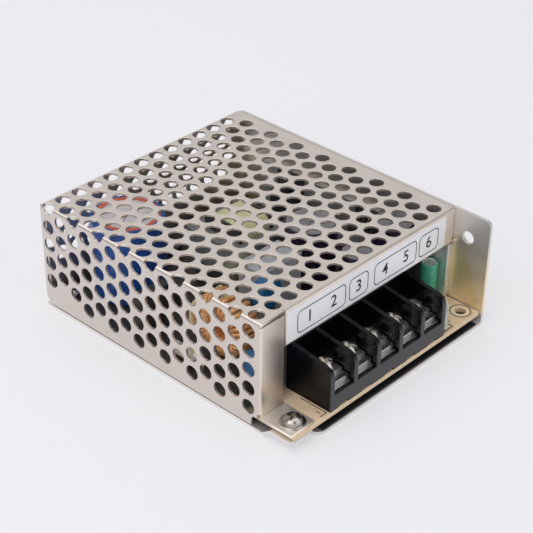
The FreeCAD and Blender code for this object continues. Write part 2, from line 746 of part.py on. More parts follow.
def make_contacts():
    inside = f"{BOARD_FRONT} + block_deep - block_back"
    plates = []
    for pole in range(int(value("pole_count"))):
        plate = body(f"contact_{pole + 1}")
        front = f"{BOARD_FRONT} + contact_front"
        bend = f"{BOARD_FRONT} + contact_lip"
        pin_back = f"{inside} - pin_clear"
        low = f"{FLOOR} - contact_drop"
        pad(plate, f"strip_{pole + 1}", "YZ_Plane", f"{pole_x(pole)} - contact_wide / 2", "contact_wide",
            [(front, low), (bend, low), (bend, FLOOR), (pin_back, FLOOR), (pin_back, CONTACT_TOP),
             (f"{bend} - contact_thick", CONTACT_TOP), (f"{bend} - contact_thick", f"{low} + contact_thick"),
             (front, f"{low} + contact_thick")])
        pad(plate, f"pin_{pole + 1}", "XY_Plane", BOARD_TOP, "block_floor",
            rectangle(f"{pole_x(pole)} - contact_pin / 2", f"{pole_x(pole)} + contact_pin / 2",
                      f"{pin_back} - contact_pin", pin_back))
        thread = post(f"contact_thread_{pole + 1}", pole_x(pole), POLE_Y, FLOOR,
                      "pole_screw + 2 * pole_clear", "contact_thick")
        plates.append(cut(f"contact_strip_{pole + 1}", plate, [thread]))
    keep(group("terminal_contacts", plates))


def screw(name, x, y, z, thread, head, head_tall, reach, axis="z"):
    """A pan-head screw from the middle of its head's seat, pointing down, or to the right along X."""
    if axis == "z":
        shank = post(f"{name}_shank", x, y, f"{z} - ({reach})", thread, reach)
        top = post(f"{name}_head", x, y, z, head, head_tall)
    else:
        shank = post(f"{name}_shank", x, y, z, thread, reach, axis)
        top = post(f"{name}_head", f"{x} - {head_tall}", y, z, head, head_tall, axis)
    return fuse(name, [shank, top])


# Terminal screws and the square clamp plates that they carry

def make_terminal_screws():
    for pole in range(int(value("pole_count"))):
        plate = body(f"clamp_sheet_{pole + 1}")
        half = "(clamp_wide / 2)"
        length = "(clamp_long / 2)"
        trim = "clamp_corner"
        outline = [(f"{half} - {trim}", f"0 - {length}"), (half, f"{trim} - {length}"),
                   (half, f"{length} - {trim}"), (f"{half} - {trim}", length),
                   (f"{trim} - {half}", length), (f"0 - {half}", f"{length} - {trim}"),
                   (f"0 - {half}", f"{trim} - {length}"), (f"{trim} - {half}", f"0 - {length}")]
        pad(plate, f"clamp_pad_{pole + 1}", "XY_Plane", "0", "clamp_thick", outline)
        place(plate, pole_x(pole), POLE_Y, CONTACT_TOP)
        hole = post(f"clamp_hole_{pole + 1}", pole_x(pole), POLE_Y, CONTACT_TOP,
                    "pole_screw + 2 * clamp_play", "clamp_thick")
        keep(cut(f"clamp_plate_{pole + 1}", plate, [hole]))
        keep(screw(f"terminal_screw_{pole + 1}", pole_x(pole), POLE_Y, CLAMP_TOP,
                   "pole_screw", "pole_head", "pole_head_tall", "pole_reach"))


# Case screws

SCREW_SIZES = ("screw_thread - thread_clear * 2", "screw_head", "screw_head_tall")


def make_case_screws():
    reach = "board_thick + base_sheet + thread_proud"
    keep(screw("foot_screw", SCREW_LEFT, SCREW_FRONT, FOOT_TOP, *SCREW_SIZES, f"{reach} + cover_sheet"))
    pair = [screw(f"board_screw_{side}", x, SCREW_BACK, BOARD_TOP, *SCREW_SIZES, reach)
            for side, x in (("left", SCREW_LEFT), ("right", SCREW_RIGHT))]
    keep(group("board_screws", pair))
    shank = post("rear_screw_shank", "0", f"{BACK} - rear_reach", "lug_screw_up",
                 "screw_thread - thread_clear * 2", "rear_reach", "y")
    head = post("rear_screw_head", "0", f"{BACK} - flat_head_deep", "lug_screw_up", "flat_head",
                "flat_head_deep", "y")
    keep(fuse("rear_screw", [shank, head]))


# Heat spreader and the two power devices screwed through it into the chassis wall

def make_power_devices():
    hole = "screw_thread + screw_clear * 2"
    plate = box("spreader_plate", SPREADER_FACE, f"{FRONT} + spreader_front", "spreader_up",
                "spreader_thick", "spreader_long", "case_tall - spreader_down - spreader_up")
    holes = [post(f"spreader_hole_{name}", SPREADER_FACE, y, DEVICE_SCREW_UP, hole, "spreader_thick", "x")
             for name, y in DEVICE_PLACES.items()]
    keep(cut("heat_spreader", plate, holes))
    screws = []
    for name, y in DEVICE_PLACES.items():
        front = f"{y} - device_wide / 2"
        moulding = box(f"{name}_body", f"{SPREADER_FACE} - device_deep", front, DEVICE_FOOT,
                       "device_deep", "device_wide", "device_body")
        tab = box(f"{name}_tab", f"{SPREADER_FACE} - device_tab", front, DEVICE_FOOT,
                  "device_tab", "device_wide", "device_body + device_tab_tall")
        leads = [box(f"{name}_lead_{step + 1}", f"{SPREADER_FACE} - device_tab - lead_thick",
                     f"{y} + {step - 1} * lead_pitch - lead_thick / 2", BOARD_TOP,
                     "lead_thick", "lead_thick", "device_up") for step in range(3)]
        opening = post(f"{name}_hole", f"{SPREADER_FACE} - device_tab", y, DEVICE_SCREW_UP,
                       "device_hole", "device_tab", "x")
        keep(cut(name, fuse(f"{name}_blank", [moulding, tab] + leads), [opening]))
        screws.append(screw(f"screw_{name}", f"{SPREADER_FACE} - device_tab", y, DEVICE_SCREW_UP,
                            *SCREW_SIZES, "device_tab + spreader_thick + base_sheet", "x"))
    keep(group("device_screws", screws))


# Capacitor cans and the output inductor

def can(name, x, y, wide, tall):
    return keep(post(name, x, y, BOARD_TOP, wide, tall, sides="round_sides"))


def make_cans():
    can("bulk_capacitor", "0 - bulk_across", f"{FRONT} + bulk_along", "bulk_wide", "bulk_tall")
    for number in (1, 2, 3):
        size = f"filter_{number}"
        can(f"output_capacitor_{number}", f"{size}_across", f"{FRONT} + {size}_along",
            f"{size}_wide", f"{size}_tall")
    can("small_capacitor", "small_cap_across", f"{FRONT} + small_cap_along", "small_cap_wide",
        "small_cap_tall")


def make_output_inductor():
    x = "inductor_across"
    y = f"{FRONT} + inductor_along"
    upper_foot = f"{BOARD_TOP} + inductor_tall - inductor_flange"
    lower = post("inductor_lower", x, y, BOARD_TOP, "inductor_wide", "inductor_flange")
    middle = post("inductor_middle", x, y, BOARD_TOP, "inductor_winding", "inductor_tall")
    upper = post("inductor_upper", x, y, upper_foot, "inductor_wide", "inductor_flange")
    keep(fuse("output_inductor", [lower, middle, upper]))


def centred(name, x, y, z, long, wide, tall):
    """A box from the middle of its lower face."""
    return box(name, f"{x} - ({long}) / 2", f"{y} - ({wide}) / 2", z, long, wide, tall)


# Transformer: a flat three-legged core with a taped winding on a bobbin round its middle leg

def make_transformer():
    x = "core_across"
    y = f"{FRONT} + core_along"
    middle = f"({BOARD_TOP} + core_up)"
    core_foot = f"({middle} - core_deep / 2)"
    window_long = "(core_long - 2 * core_back)"
    window_wide = "((core_wide - core_leg) / 2 - core_side)"
    offset = f"((core_leg + {window_wide}) / 2)"
    block = centred("core_block", x, y, core_foot, "core_long", "core_wide", "core_deep")
    windows = [centred(f"core_window_{word}", x, f"{y} {sign} {offset}", core_foot, window_long,
                       window_wide, "core_deep") for word, sign in (("front", "-"), ("back", "+"))]
    keep(cut("transformer_core", block, windows))
    wide = f"(core_leg + 2 * {window_wide} - 2 * winding_gap)"
    tall = f"(core_deep + 2 * {window_wide} - 2 * winding_gap)"
    tube_wide = "(core_leg + 2 * winding_gap + 2 * bobbin_flange)"
    tube_tall = "(core_deep + 2 * winding_gap + 2 * bobbin_flange)"
    flange_off = f"({window_long} / 2 - bobbin_flange / 2)"
    pieces = [centred("bobbin_tube", x, y, f"{middle} - {tube_tall} / 2", window_long, tube_wide, tube_tall)]
    rail_long = "(core_back + bobbin_flange)"
    rail_off = f"(core_long / 2 - {rail_long} / 2)"
    rail_tall = "core_up - core_deep / 2 - winding_gap"
    for word, sign in (("left", "-"), ("right", "+")):
        pieces.append(centred(f"bobbin_flange_{word}", f"{x} {sign} {flange_off}", y,
                              f"{middle} - {tall} / 2", "bobbin_flange", wide, tall))
        pieces.append(centred(f"bobbin_rail_{word}", f"{x} {sign} {rail_off}", y, BOARD_TOP, rail_long,
                              wide, rail_tall))
    leg = centred("bobbin_leg_space", x, y, f"{core_foot} - winding_gap", window_long,
                  "core_leg + 2 * winding_gap", "core_deep + 2 * winding_gap")
    keep(cut("transformer_bobbin", fuse("bobbin_blank", pieces), [leg]))
    coil = body("transformer_winding")
    coil_long = f"{window_long} - 2 * bobbin_flange"
    half_wide = f"({wide} / 2 - winding_gap)"
    half_tall = f"({tall} / 2 - winding_gap)"
    inner_wide = f"({half_wide} - winding_bevel)"
    inner_tall = f"({half_tall} - winding_bevel)"
    rim = [(f"0 - {inner_wide}", f"0 - {half_tall}"), (inner_wide, f"0 - {half_tall}"),
           (half_wide, f"0 - {inner_tall}"), (half_wide, inner_tall), (inner_wide, half_tall),
           (f"0 - {inner_wide}", half_tall), (f"0 - {half_wide}", inner_tall),
           (f"0 - {half_wide}", f"0 - {inner_tall}")]
    pad(coil, "winding_tape", "YZ_Plane", f"0 - ({coil_long}) / 2", coil_long, rim)
    pocket(coil, "winding_space", "YZ_Plane", f"0 - ({coil_long}) / 2", coil_long,
           rectangle(f"0 - {tube_wide} / 2", f"{tube_wide} / 2", f"0 - {tube_tall} / 2", f"{tube_tall} / 2"))
    keep(place(coil, x, y, middle))


# Mains input parts

def disc(name, x, y, axis):
    """A coated disc standing on edge on two wires, from the sizes that bear its name."""
    diameter = f"{name}_wide"
    thick = f"{name}_thick"
    middle = f"{BOARD_TOP} + {name}_lift + {diameter} / 2"
    face_x = f"{x} - {thick} / 2" if axis == "x" else x
    face_y = f"{y} - {thick} / 2" if axis == "y" else y
    coin = post(f"{name}_disc", face_x, face_y, middle, diameter, thick, axis, "round_sides")
    spread = f"{diameter} * disc_wires / 2"
    wires = []
    for number, sign in enumerate("-+", start=1):
        wire_x = f"{x} {sign} {spread}" if axis == "y" else x
        wire_y = f"{y} {sign} {spread}" if axis == "x" else y
        wires.append(centred(f"{name}_wire_{number}", wire_x, wire_y, BOARD_TOP, "wire_thick",
                             "wire_thick", f"{name}_lift + {diameter} / 4"))
    return keep(fuse(name, [coin] + wires))


def axial(name, x, y, diameter, long, axis):
    """A round part lying along an axis on two wires down to the board."""
    middle = f"({BOARD_TOP} + axial_lift + {diameter} / 2)"

    def shifted(by):
        return (f"{x} + {by}", y) if axis == "x" else (x, f"{y} + {by}")

    half = f"{long} / 2"
    pieces = [post(f"{name}_barrel", *shifted(f"(0 - {half})"), middle, diameter, long, axis)]
    elbow = ("wire_bend + wire_thick", "wire_thick")
    if axis == "y":
        elbow = ("wire_thick", "wire_bend + wire_thick")
    for number, sign in enumerate("-+", start=1):
        foot = shifted(f"(0 {sign} ({half} + wire_bend))")
        pieces.append(centred(f"{name}_wire_{number}", *foot, BOARD_TOP, "wire_thick", "wire_thick",
                              f"axial_lift + {diameter} / 2 + wire_thick / 2"))
        bend = shifted(f"(0 {sign} ({half} + wire_bend / 2))")
        pieces.append(centred(f"{name}_elbow_{number}", *bend, f"{middle} - wire_thick / 2", *elbow,
                              "wire_thick"))
    return fuse(name, pieces)


def make_bridge():
    bridge = body("bridge_rectifier")
    left = "(0 - bridge_across - bridge_long / 2)"
    right = "(bridge_long / 2 - bridge_across)"
    foot = f"({BOARD_TOP} + bridge_lift)"
    top = f"({foot} + bridge_tall)"
    middle = f"{FRONT} + bridge_along"
    pad(bridge, "bridge_moulding", "XZ_Plane", f"{middle} - bridge_deep / 2", "bridge_deep",
        [(left, foot), (right, foot), (right, f"{top} - bridge_deep"), (f"{right} - bridge_deep", top),
         (left, top)])
    inset = "lead_pitch / 2"
    lead = pad(bridge, "bridge_lead", "XY_Plane", BOARD_TOP, "bridge_lift",
               rectangle(f"{left} + {inset}", f"{left} + {inset} + lead_thick",
                         f"{middle} - lead_thick / 2", f"{middle} + lead_thick / 2"))
    span = f"(bridge_long - 2 * {inset} - lead_thick)"
    repeat(bridge, "bridge_lead_row", [lead], "X_Axis", f"{span} / (bridge_leads - 1)", "bridge_leads")
    keep(bridge)


def make_mains_parts():
    disc("thermistor", "0 - thermistor_across", f"{FRONT} + thermistor_along", "y")
    disc("varistor", "0 - varistor_across", f"{FRONT} + varistor_along", "x")
    disc("safety_capacitor", "0 - safety_capacitor_across", f"{FRONT} + safety_capacitor_along", "y")
    keep(centred("box_capacitor", "0 - box_across", f"{FRONT} + box_along", BOARD_TOP,
                 "box_long", "box_deep", "box_tall"))
    tube = axial("fuse_tube", "0 - fuse_across", f"{FRONT} + fuse_along", "fuse_wide", "fuse_long", "y")
    ends = [post(f"fuse_cap_{word}", "0 - fuse_across", f"{FRONT} + fuse_along {shift}",
                 f"{BOARD_TOP} + axial_lift + fuse_wide / 2", "fuse_wide + 2 * cap_proud", "fuse_cap", "y")
            for word, shift in (("front", "- fuse_long / 2"), ("back", "+ fuse_long / 2 - fuse_cap"))]
    keep(fuse("fuse", [tube] + ends))
    make_bridge()


# Line choke: a standing ring core between two windings, on its base

def make_line_choke():
    x = "(0 - choke_across)"
    y = f"({FRONT} + choke_along)"
    outer = "(choke_wide + 2 * choke_winding)"
    centre = f"({BOARD_TOP} + choke_base_thick + seat_gap + {outer} / 2)"

    def ring(name, diameter, deep):
        return post(name, f"{x} - {deep} / 2", y, centre, diameter, deep, "x", "round_sides")

    keep(cut("choke_core", ring("choke_ring", "choke_wide", "choke_deep"),
             [ring("choke_ring_bore", "choke_bore", "choke_deep")]))
    coil_deep = "(choke_deep + 2 * choke_winding)"
    room_deep = "(choke_deep + 2 * choke_gap)"
    coil = ring("choke_coil", outer, coil_deep)
    coil_bore = ring("choke_coil_bore", "choke_bore - 2 * choke_winding", coil_deep)
    room = ring("choke_room", "choke_wide + 2 * choke_gap", room_deep)
    hub = ring("choke_hub", "choke_bore - 2 * choke_gap", room_deep)
    split = centred("choke_split_space", x, y, f"{centre} - {outer}", coil_deep, "choke_split",
                    f"2 * {outer}")
    keep(cut("choke_windings", coil, [coil_bore, cut("choke_ring_space", room, [hub]), split]))
    base = centred("choke_plate", x, y, BOARD_TOP, "choke_base_deep", "choke_base_long", "choke_base_thick")
    rib = centred("choke_rib", x, y, BOARD_TOP, "choke_deep", "choke_post",
                  "choke_base_thick + seat_gap + choke_winding")
    keep(fuse("choke_base", [base, rib]))


# Small parts on the board

def make_small_parts():
    y = f"({FRONT} + chip_along)"
    chips = (("control_chip", "0 - chip_across", "chip"), ("optocoupler", "opto_across", "opto"))
    for name, x, size in chips:
        pieces = [centred(f"{name}_moulding", x, y, f"{BOARD_TOP} + chip_lift", f"{size}_long",
                          "chip_wide", "chip_thick")]
        for number in range(int(value(f"{size}_pins"))):
            pin_x = f"{x} + ({number} - ({size}_pins - 1) / 2) * lead_pitch"
            pieces.append(centred(f"{name}_pins_{number + 1}", pin_x, y, BOARD_TOP, "lead_thick",
                                  "chip_wide + 2 * lead_thick", "chip_lift + chip_thick / 2"))
        keep(fuse(name, pieces))
    for name, size in (("power_resistors", "resistor"), ("rectifier_diodes", "diode")):
        row = [axial(f"{size}_{number + 1}", f"{size}_across",
                     f"{FRONT} + {size}_along + {number} * {size}_step", f"{size}_wide",
                     f"{size}_long", "x") for number in range(int(value(f"{size}_count")))]
        keep(group(name, row))


def make_trimmer():
    x = "trimmer_across"
    y = f"({FRONT} + trimmer_along)"
    moulding = centred("trimmer_moulding", x, y, BOARD_TOP, "trimmer_wide", "trimmer_wide", "trimmer_tall")
    floor = f"({BOARD_TOP} + trimmer_tall - rotor_deep)"
    recess = post("trimmer_recess", x, y, floor, "rotor_wide + 2 * rotor_clear", "rotor_deep")
    keep(cut("trimmer_body", moulding, [recess]))
    wheel = post("rotor_wheel", x, y, floor, "rotor_wide", "rotor_deep + rotor_proud")
    slot_foot = f"{floor} + rotor_deep + rotor_proud - rotor_slot_deep"
    slots = [centred("rotor_slot_across", x, y, slot_foot, "rotor_wide", "rotor_slot", "rotor_slot_deep"),
             centred("rotor_slot_along", x, y, slot_foot, "rotor_slot", "rotor_slot_short",
                     "rotor_slot_deep")]
    keep(cut("trimmer_rotor", wheel, slots))


def make_led():
    x = "led_across"
    y = f"({FRONT} + led_along)"
    foot = f"({BOARD_TOP} + led_lift)"
    straight = "(led_tall - led_round)"
    rim = post("led_flange", x, y, foot, "led_rim", "led_rim_thick")
    barrel = post("led_barrel", x, y, foot, "led_wide", straight)
    dome = post("led_dome", x, y, f"{foot} + {straight}", "led_tip", "led_round")
    leads = [centred(f"led_lead_{word}", f"{x} {sign} lead_pitch / 2", y, BOARD_TOP, "led_lead",
                     "led_lead", "led_lift + led_rim_thick / 2")
             for word, sign in (("left", "-"), ("right", "+"))]
    keep(fuse("indicator_led", [rim, barrel, dome] + leads))


make_chassis()
make_cover()
make_label()
make_board()
make_terminal_block()
make_contacts()
make_terminal_screws()
make_case_screws()
make_power_devices()
make_cans()
make_output_inductor()
make_transformer()
make_mains_parts()
make_line_choke()
make_small_parts()
make_trimmer()
make_led()
doc.recompute()

failed = [item.Name for item in doc.Objects if {"Invalid", "Error"} & set(item.State)]
failed += [name for name, item in parts.items() if item.Shape.isNull() or not item.Shape.isValid()]
if failed:
    raise RuntimeError("Failed objects: " + ", ".join(sorted(set(failed))))

os.makedirs("parts", exist_ok=True)
for name, item in parts.items():
    item.Shape.exportStep(os.path.join("parts", name + ".step"))
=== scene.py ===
"""Looks of the mesh case switching power supply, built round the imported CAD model."""

import json
import math
import random

import bmesh
import bpy
from mathutils import Matrix, Vector
from mathutils.geometry import delaunay_2d_cdt


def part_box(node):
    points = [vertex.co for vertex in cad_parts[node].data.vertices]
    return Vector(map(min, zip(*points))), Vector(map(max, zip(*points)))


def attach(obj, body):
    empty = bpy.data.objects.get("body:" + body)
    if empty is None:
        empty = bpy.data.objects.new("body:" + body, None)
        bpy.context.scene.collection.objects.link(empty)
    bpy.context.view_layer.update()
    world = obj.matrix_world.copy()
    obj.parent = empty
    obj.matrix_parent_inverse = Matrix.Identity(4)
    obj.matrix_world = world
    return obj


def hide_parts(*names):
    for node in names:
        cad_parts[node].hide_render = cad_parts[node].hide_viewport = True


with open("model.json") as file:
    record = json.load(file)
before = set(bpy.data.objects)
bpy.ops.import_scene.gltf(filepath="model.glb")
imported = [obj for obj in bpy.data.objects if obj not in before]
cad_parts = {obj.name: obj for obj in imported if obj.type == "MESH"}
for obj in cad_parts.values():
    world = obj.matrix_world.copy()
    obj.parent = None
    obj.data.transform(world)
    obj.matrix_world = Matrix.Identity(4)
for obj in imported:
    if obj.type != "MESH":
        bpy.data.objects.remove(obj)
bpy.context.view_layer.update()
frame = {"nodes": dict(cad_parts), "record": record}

# Lengths here are in millimetres and become metres where a mesh is made
MM = 0.001
ROOT = "case"


def span(node):
    """Lowest and highest corner of a CAD node in millimetres."""
    low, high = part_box(node)
    return low / MM, high / MM


def upright(node):
    """The middle of the underside of a CAD node, half its width and its height in millimetres."""
    low, high = span(node)
    middle = (low + high) / 2
    return Vector((middle.x, middle.y, low.z)), (high.x - low.x) / 2, high.z - low.z


# Materials

NOISE_MIDDLE = (0.3, 0.7)
# Pointiness range of the convex edges that get a painted highlight, and how much brighter the highlight makes
# them
HIGHLIGHT_EDGE = (0.505, 0.56)
HIGHLIGHT_GAIN = 1.35


def node(tree, kind, **inputs):
    """A shader node with the values of its inputs set by name."""
    made = tree.nodes.new("ShaderNode" + kind)
    for name, value in inputs.items():
        made.inputs[name.replace("_", " ")].default_value = value
    return made


def noise(tree, grain, detail=3.0, stretch=(1, 1, 1)):
    """Noise in object space whose grain is given in millimetres."""
    place = tree.nodes.new("ShaderNodeTexCoord")
    scale = node(tree, "Mapping", Scale=[1 / (grain * MM * part) for part in stretch])
    made = node(tree, "TexNoise", Scale=1.0, Detail=detail)
    tree.links.new(place.outputs["Object"], scale.inputs["Vector"])
    tree.links.new(scale.outputs["Vector"], made.inputs["Vector"])
    return made.outputs["Fac"]


def ranged(tree, source, start, end, low=0.0, high=1.0):
    """Maps the range from start to end of a socket to the range from low to high."""
    made = node(tree, "MapRange")
    for number, value in enumerate((start, end, low, high), 1):
        made.inputs[number].default_value = value
    tree.links.new(source, made.inputs[0])
    return made.outputs[0]


def along(tree, axis, start, end):
    """A share that rises from 0 to 1 between two places in millimetres on an axis of the object."""
    place = tree.nodes.new("ShaderNodeTexCoord")
    parts = tree.nodes.new("ShaderNodeSeparateXYZ")
    tree.links.new(place.outputs["Object"], parts.inputs[0])
    return ranged(tree, parts.outputs[axis], start * MM, end * MM)


def blended(tree, share, first, second):
    """The colour of a socket turned into another colour by a share."""
    made = node(tree, "MixRGB", Color2=second)
    tree.links.new(share, made.inputs["Fac"])
    tree.links.new(first, made.inputs["Color1"])
    return made.outputs["Color"]


def combined(tree, operation, first, second):
    """A calculation with a socket and either another socket or a number."""
    made = node(tree, "Math")
    made.operation = operation
    tree.links.new(first, made.inputs[0])
    if isinstance(second, float):
        made.inputs[1].default_value = second
    else:
        tree.links.new(second, made.inputs[1])
    return made.outputs[0]


def finish(name, colour, rough, metallic=0.0, vary=0.08, grain=3.0, uneven=0.06, bump=0.02,
           bump_grain=0.25, stretch=(1, 1, 1), wear=0.0, grades=(), **sockets):
    """A material with uneven colour and roughness, a fine bump and, for plating, a painted highlight that
    makes convex edges brighter.

    Each grade is an axis, the two places in millimetres between which the colour changes, and that colour.
    A fifth value is a second axis with its two places, where the grade has to hold too.
    """
    made = bpy.data.materials.new(name)
    made.use_nodes = True
    tree = made.node_tree
    shader = tree.nodes["Principled BSDF"]
    shader.inputs["Metallic"].default_value = metallic
    for socket, value in sockets.items():
        shader.inputs[socket.replace("_", " ")].default_value = value
    tint = node(tree, "MixRGB", Color1=[part * (1 - vary) for part in colour] + [1],
                Color2=[min(1, part * (1 + vary)) for part in colour] + [1])
    patches = ranged(tree, noise(tree, grain, 3.0, stretch), *NOISE_MIDDLE)
    tree.links.new(patches, tint.inputs["Fac"])
    result = tint.outputs["Color"]
    for axis, start, end, other, *limits in grades:
        share = along(tree, axis, start, end)
        for limit in limits:
            share = combined(tree, "MULTIPLY", share, along(tree, *limit))
        result = blended(tree, share, result, (*other, 1))
    if wear:
        # Painted highlight: convex edges, found by pointiness, turn brighter
        edges = tree.nodes.new("ShaderNodeNewGeometry").outputs["Pointiness"]
        share = ranged(tree, edges, *HIGHLIGHT_EDGE, 0.0, wear)
        result = blended(tree, share, result, [min(1, part * HIGHLIGHT_GAIN) for part in colour] + [1])
    tree.links.new(result, shader.inputs["Base Color"])
    patches = ranged(tree, noise(tree, grain * 0.6, 4.0, stretch), *NOISE_MIDDLE,
                     max(0.02, rough - uneven), rough + uneven)
    tree.links.new(patches, shader.inputs["Roughness"])
    relief = node(tree, "Bump", Strength=bump * 10, Distance=0.02 * MM)
    tree.links.new(noise(tree, bump_grain, 2.0, stretch), relief.inputs["Height"])
    tree.links.new(relief.outputs["Normal"], shader.inputs["Normal"])
    return made


PLATED = dict(metallic=1.0, wear=0.5, bump=0.005, bump_grain=1.5)
LOOKS = {
    "cover_steel": finish("cover_plating", (0.80, 0.72, 0.645), 0.31, grain=9, vary=0.05,
                          uneven=0.025,
                          # Painted shade: the side, X below -39.8, darker than the top
                          grades=(("X", -39.8, -40.6, (0.71, 0.64, 0.59)),
                                  # Painted light: the front, Y below -36.5, lighter than the top, as lit from
                                  # the front
                                  ("Y", -36.5, -36.9, (0.88, 0.78, 0.68)),
                                  # Painted shade: the front strip darker towards its right end
                                  ("X", -40.3, -33.5, (0.50, 0.44, 0.39), ("Y", -36.5, -36.9)),
                                  # Painted light: the flap beyond the strip, lighter again
                                  ("X", -31.9, -31.6, (0.94, 0.84, 0.74), ("Y", -36.5, -36.9)),
                                  # Painted light: the foot, Y below -37.3, lighter still
                                  ("Y", -37.3, -37.6, (1.0, 0.93, 0.83))),
                          **PLATED | {"metallic": 0.82, "wear": 0.0}),
    "chassis_steel": finish("chassis_plating", (0.74, 0.71, 0.68), 0.36, grain=7, vary=0.10,
                            stretch=(1, 4, 1), grades=(("Z", 3.2, 6, (0.94, 0.74, 0.40)),
                                                       ("Z", 17, 28, (0.56, 0.53, 0.49))),
                            **PLATED | {"metallic": 0.70}),
    "screw_steel": finish("screw_nickel", (0.46, 0.42, 0.39), 0.2, grain=1.2, **PLATED),
    "terminal_steel": finish("terminal_nickel", (0.92, 0.88, 0.80), 0.28, grain=1.0, **PLATED),
    "tinned_contact": finish("contact_tin", (0.80, 0.78, 0.76), 0.22, grain=1.5,
                             # Painted dark reflection: the contacts' front lip, Y below -45.2, darker
                             grades=(("Y", -45.2, -46.2, (0.45, 0.44, 0.43)),), **PLATED),
    "label_film": finish("label_film", (0.92, 0.93, 0.96), 0.36, metallic=0.1, vary=0.03, grain=14),
    "print": finish("label_print", (0.010, 0.010, 0.012), 0.5, grain=1.0),
    "board_laminate": finish("board_laminate", (0.82, 0.63, 0.42), 0.5, grain=2.0, vary=0.10,
                             # Painted shade: the board darker inside the case, Y beyond -37, and along its
                             # lower edge, Z below 3.4, as a contact shadow
                             stretch=(1, 3, 1), grades=(("Y", -37, -31, (0.05, 0.045, 0.04)),
                                                      ("Z", 3.4, 3.15, (0.04, 0.04, 0.035)))),
    "bare_ring": finish("bare_ring", (0.85, 0.74, 0.52), 0.4, grain=0.8),
    "silk": finish("board_silk", (0.02, 0.018, 0.015), 0.6, grain=0.5),
    "black_film": finish("insulating_film", (0.015, 0.015, 0.016), 0.45),
    "block_plastic": finish("block_plastic", (0.002, 0.002, 0.0025), 0.22, grain=2.5, uneven=0.05,
                            # Painted light: the block's front faces, Y below -48, lighter than the rest of
                            # the black plastic
                            bump=0.01, bump_grain=0.8, grades=(("Y", -48.0, -48.5, (0.05, 0.048, 0.05)),),
                            Specular_IOR_Level=0.25),
    "spreader_aluminium": finish("spreader_aluminium", (0.78, 0.78, 0.77), 0.58, metallic=1.0,
                                 grain=2, stretch=(1, 6, 1), wear=0.3, bump=0.01),
    "device_epoxy": finish("device_epoxy", (0.05, 0.05, 0.052), 0.5, bump=0.05, bump_grain=0.15),
    "output_sleeve": finish("output_sleeve", (0.035, 0.022, 0.055), 0.28, grain=2),
    "inductor_ferrite": finish("inductor_ferrite", (0.14, 0.14, 0.15), 0.6, bump=0.08),
    "ferrite": finish("ferrite", (0.26, 0.28, 0.27), 0.6, bump=0.08, bump_grain=0.2),
    "bobbin_plastic": finish("bobbin_plastic", (0.06, 0.06, 0.06), 0.4),
    "yellow_tape": finish("yellow_tape", (1.0, 0.93, 0.52), 0.35, grain=4, stretch=(1, 1, 4)),
    "cream_tape": finish("cream_tape", (1.0, 0.88, 0.54), 0.4, grain=3, stretch=(1, 4, 1)),
    "bulk_sleeve": finish("bulk_sleeve", (0.02, 0.10, 0.42), 0.27, grain=4),
    "bulk_band": finish("bulk_band", (0.80, 0.16, 0.07), 0.35, grain=2),
    "bulk_top": finish("bulk_top", (0.84, 0.82, 0.86), 0.4, grain=2),
    "output_top": finish("output_top", (0.42, 0.42, 0.44), 0.42, metallic=0.4, grain=1.5),
    "can_top": finish("can_top", (0.80, 0.81, 0.82), 0.3, metallic=0.85, grain=1.5, wear=0.3),
    "thermistor_coat": finish("thermistor_coat", (0.22, 0.23, 0.12), 0.4, bump=0.04, bump_grain=0.6),
    "blue_coat": finish("blue_coat", (0.02, 0.17, 0.40), 0.3, bump=0.04, bump_grain=0.6),
    "fuse_body": finish("fuse_body", (0.70, 0.64, 0.50), 0.4),
    "box_grey": finish("box_grey", (0.56, 0.60, 0.64), 0.4, bump=0.03),
    "choke_core": finish("choke_core", (0.62, 0.52, 0.24), 0.5),
    "copper_wire": finish("copper_wire", (1.0, 0.45, 0.20), 0.26, metallic=0.45, grain=1.0, wear=0.5),
    "opto_white": finish("opto_white", (0.68, 0.67, 0.62), 0.45),
    "resistor_coat": finish("resistor_coat", (0.20, 0.32, 0.42), 0.4),
    "green_sleeve": finish("green_sleeve", (0.08, 0.46, 0.28), 0.25, grain=1.5),
    "trimmer_plastic": finish("trimmer_plastic", (0.02, 0.06, 0.22), 0.3),
    "rotor_metal": finish("rotor_metal", (0.66, 0.64, 0.60), 0.3, grain=0.8, **PLATED),
    "led_green": finish("led_green", (0.86, 0.97, 0.84), 0.16, grain=1.0, vary=0.04,
                        Transmission_Weight=0.5, IOR=1.5, Subsurface_Weight=0.3,
                        Subsurface_Scale=0.001),
}
SLOT_OF = {part["node"]: part["material_slot"] for part in frame["record"]["subparts"]}
BODY_OF = {name: body for body, names in frame["record"]["behaviour"]["bodies"].items() for name in names}

for name, thing in frame["nodes"].items():
    thing.data.materials.clear()
    thing.data.materials.append(LOOKS[SLOT_OF[name]])


# Making of pieces

def evaluated_mesh(thing):
    """The mesh of an object with its modifiers, or of a curve or a text."""
    bpy.context.view_layer.update()
    return bpy.data.meshes.new_from_object(thing.evaluated_get(bpy.context.evaluated_depsgraph_get()))


def levelled(made):
    """Shading that follows the large faces, so that flat faces look flat beside rounded edges."""
    made.modifiers.new("level", "WEIGHTED_NORMAL").keep_sharp = True
    mesh = evaluated_mesh(made)
    made.modifiers.clear()
    made.data = mesh


def piece(made, look, owner=None, replaces=False, level=True):
    """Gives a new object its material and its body. The owner is the CAD node it belongs to."""
    if level:
        levelled(made)
    made.data.materials.clear()
    made.data.materials.append(LOOKS[look])
    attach(made, BODY_OF.get(owner, ROOT))
    if replaces:
        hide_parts(owner)
    return made


def link(name, data):
    made = bpy.data.objects.new(name, data)
    bpy.context.scene.collection.objects.link(made)
    return made


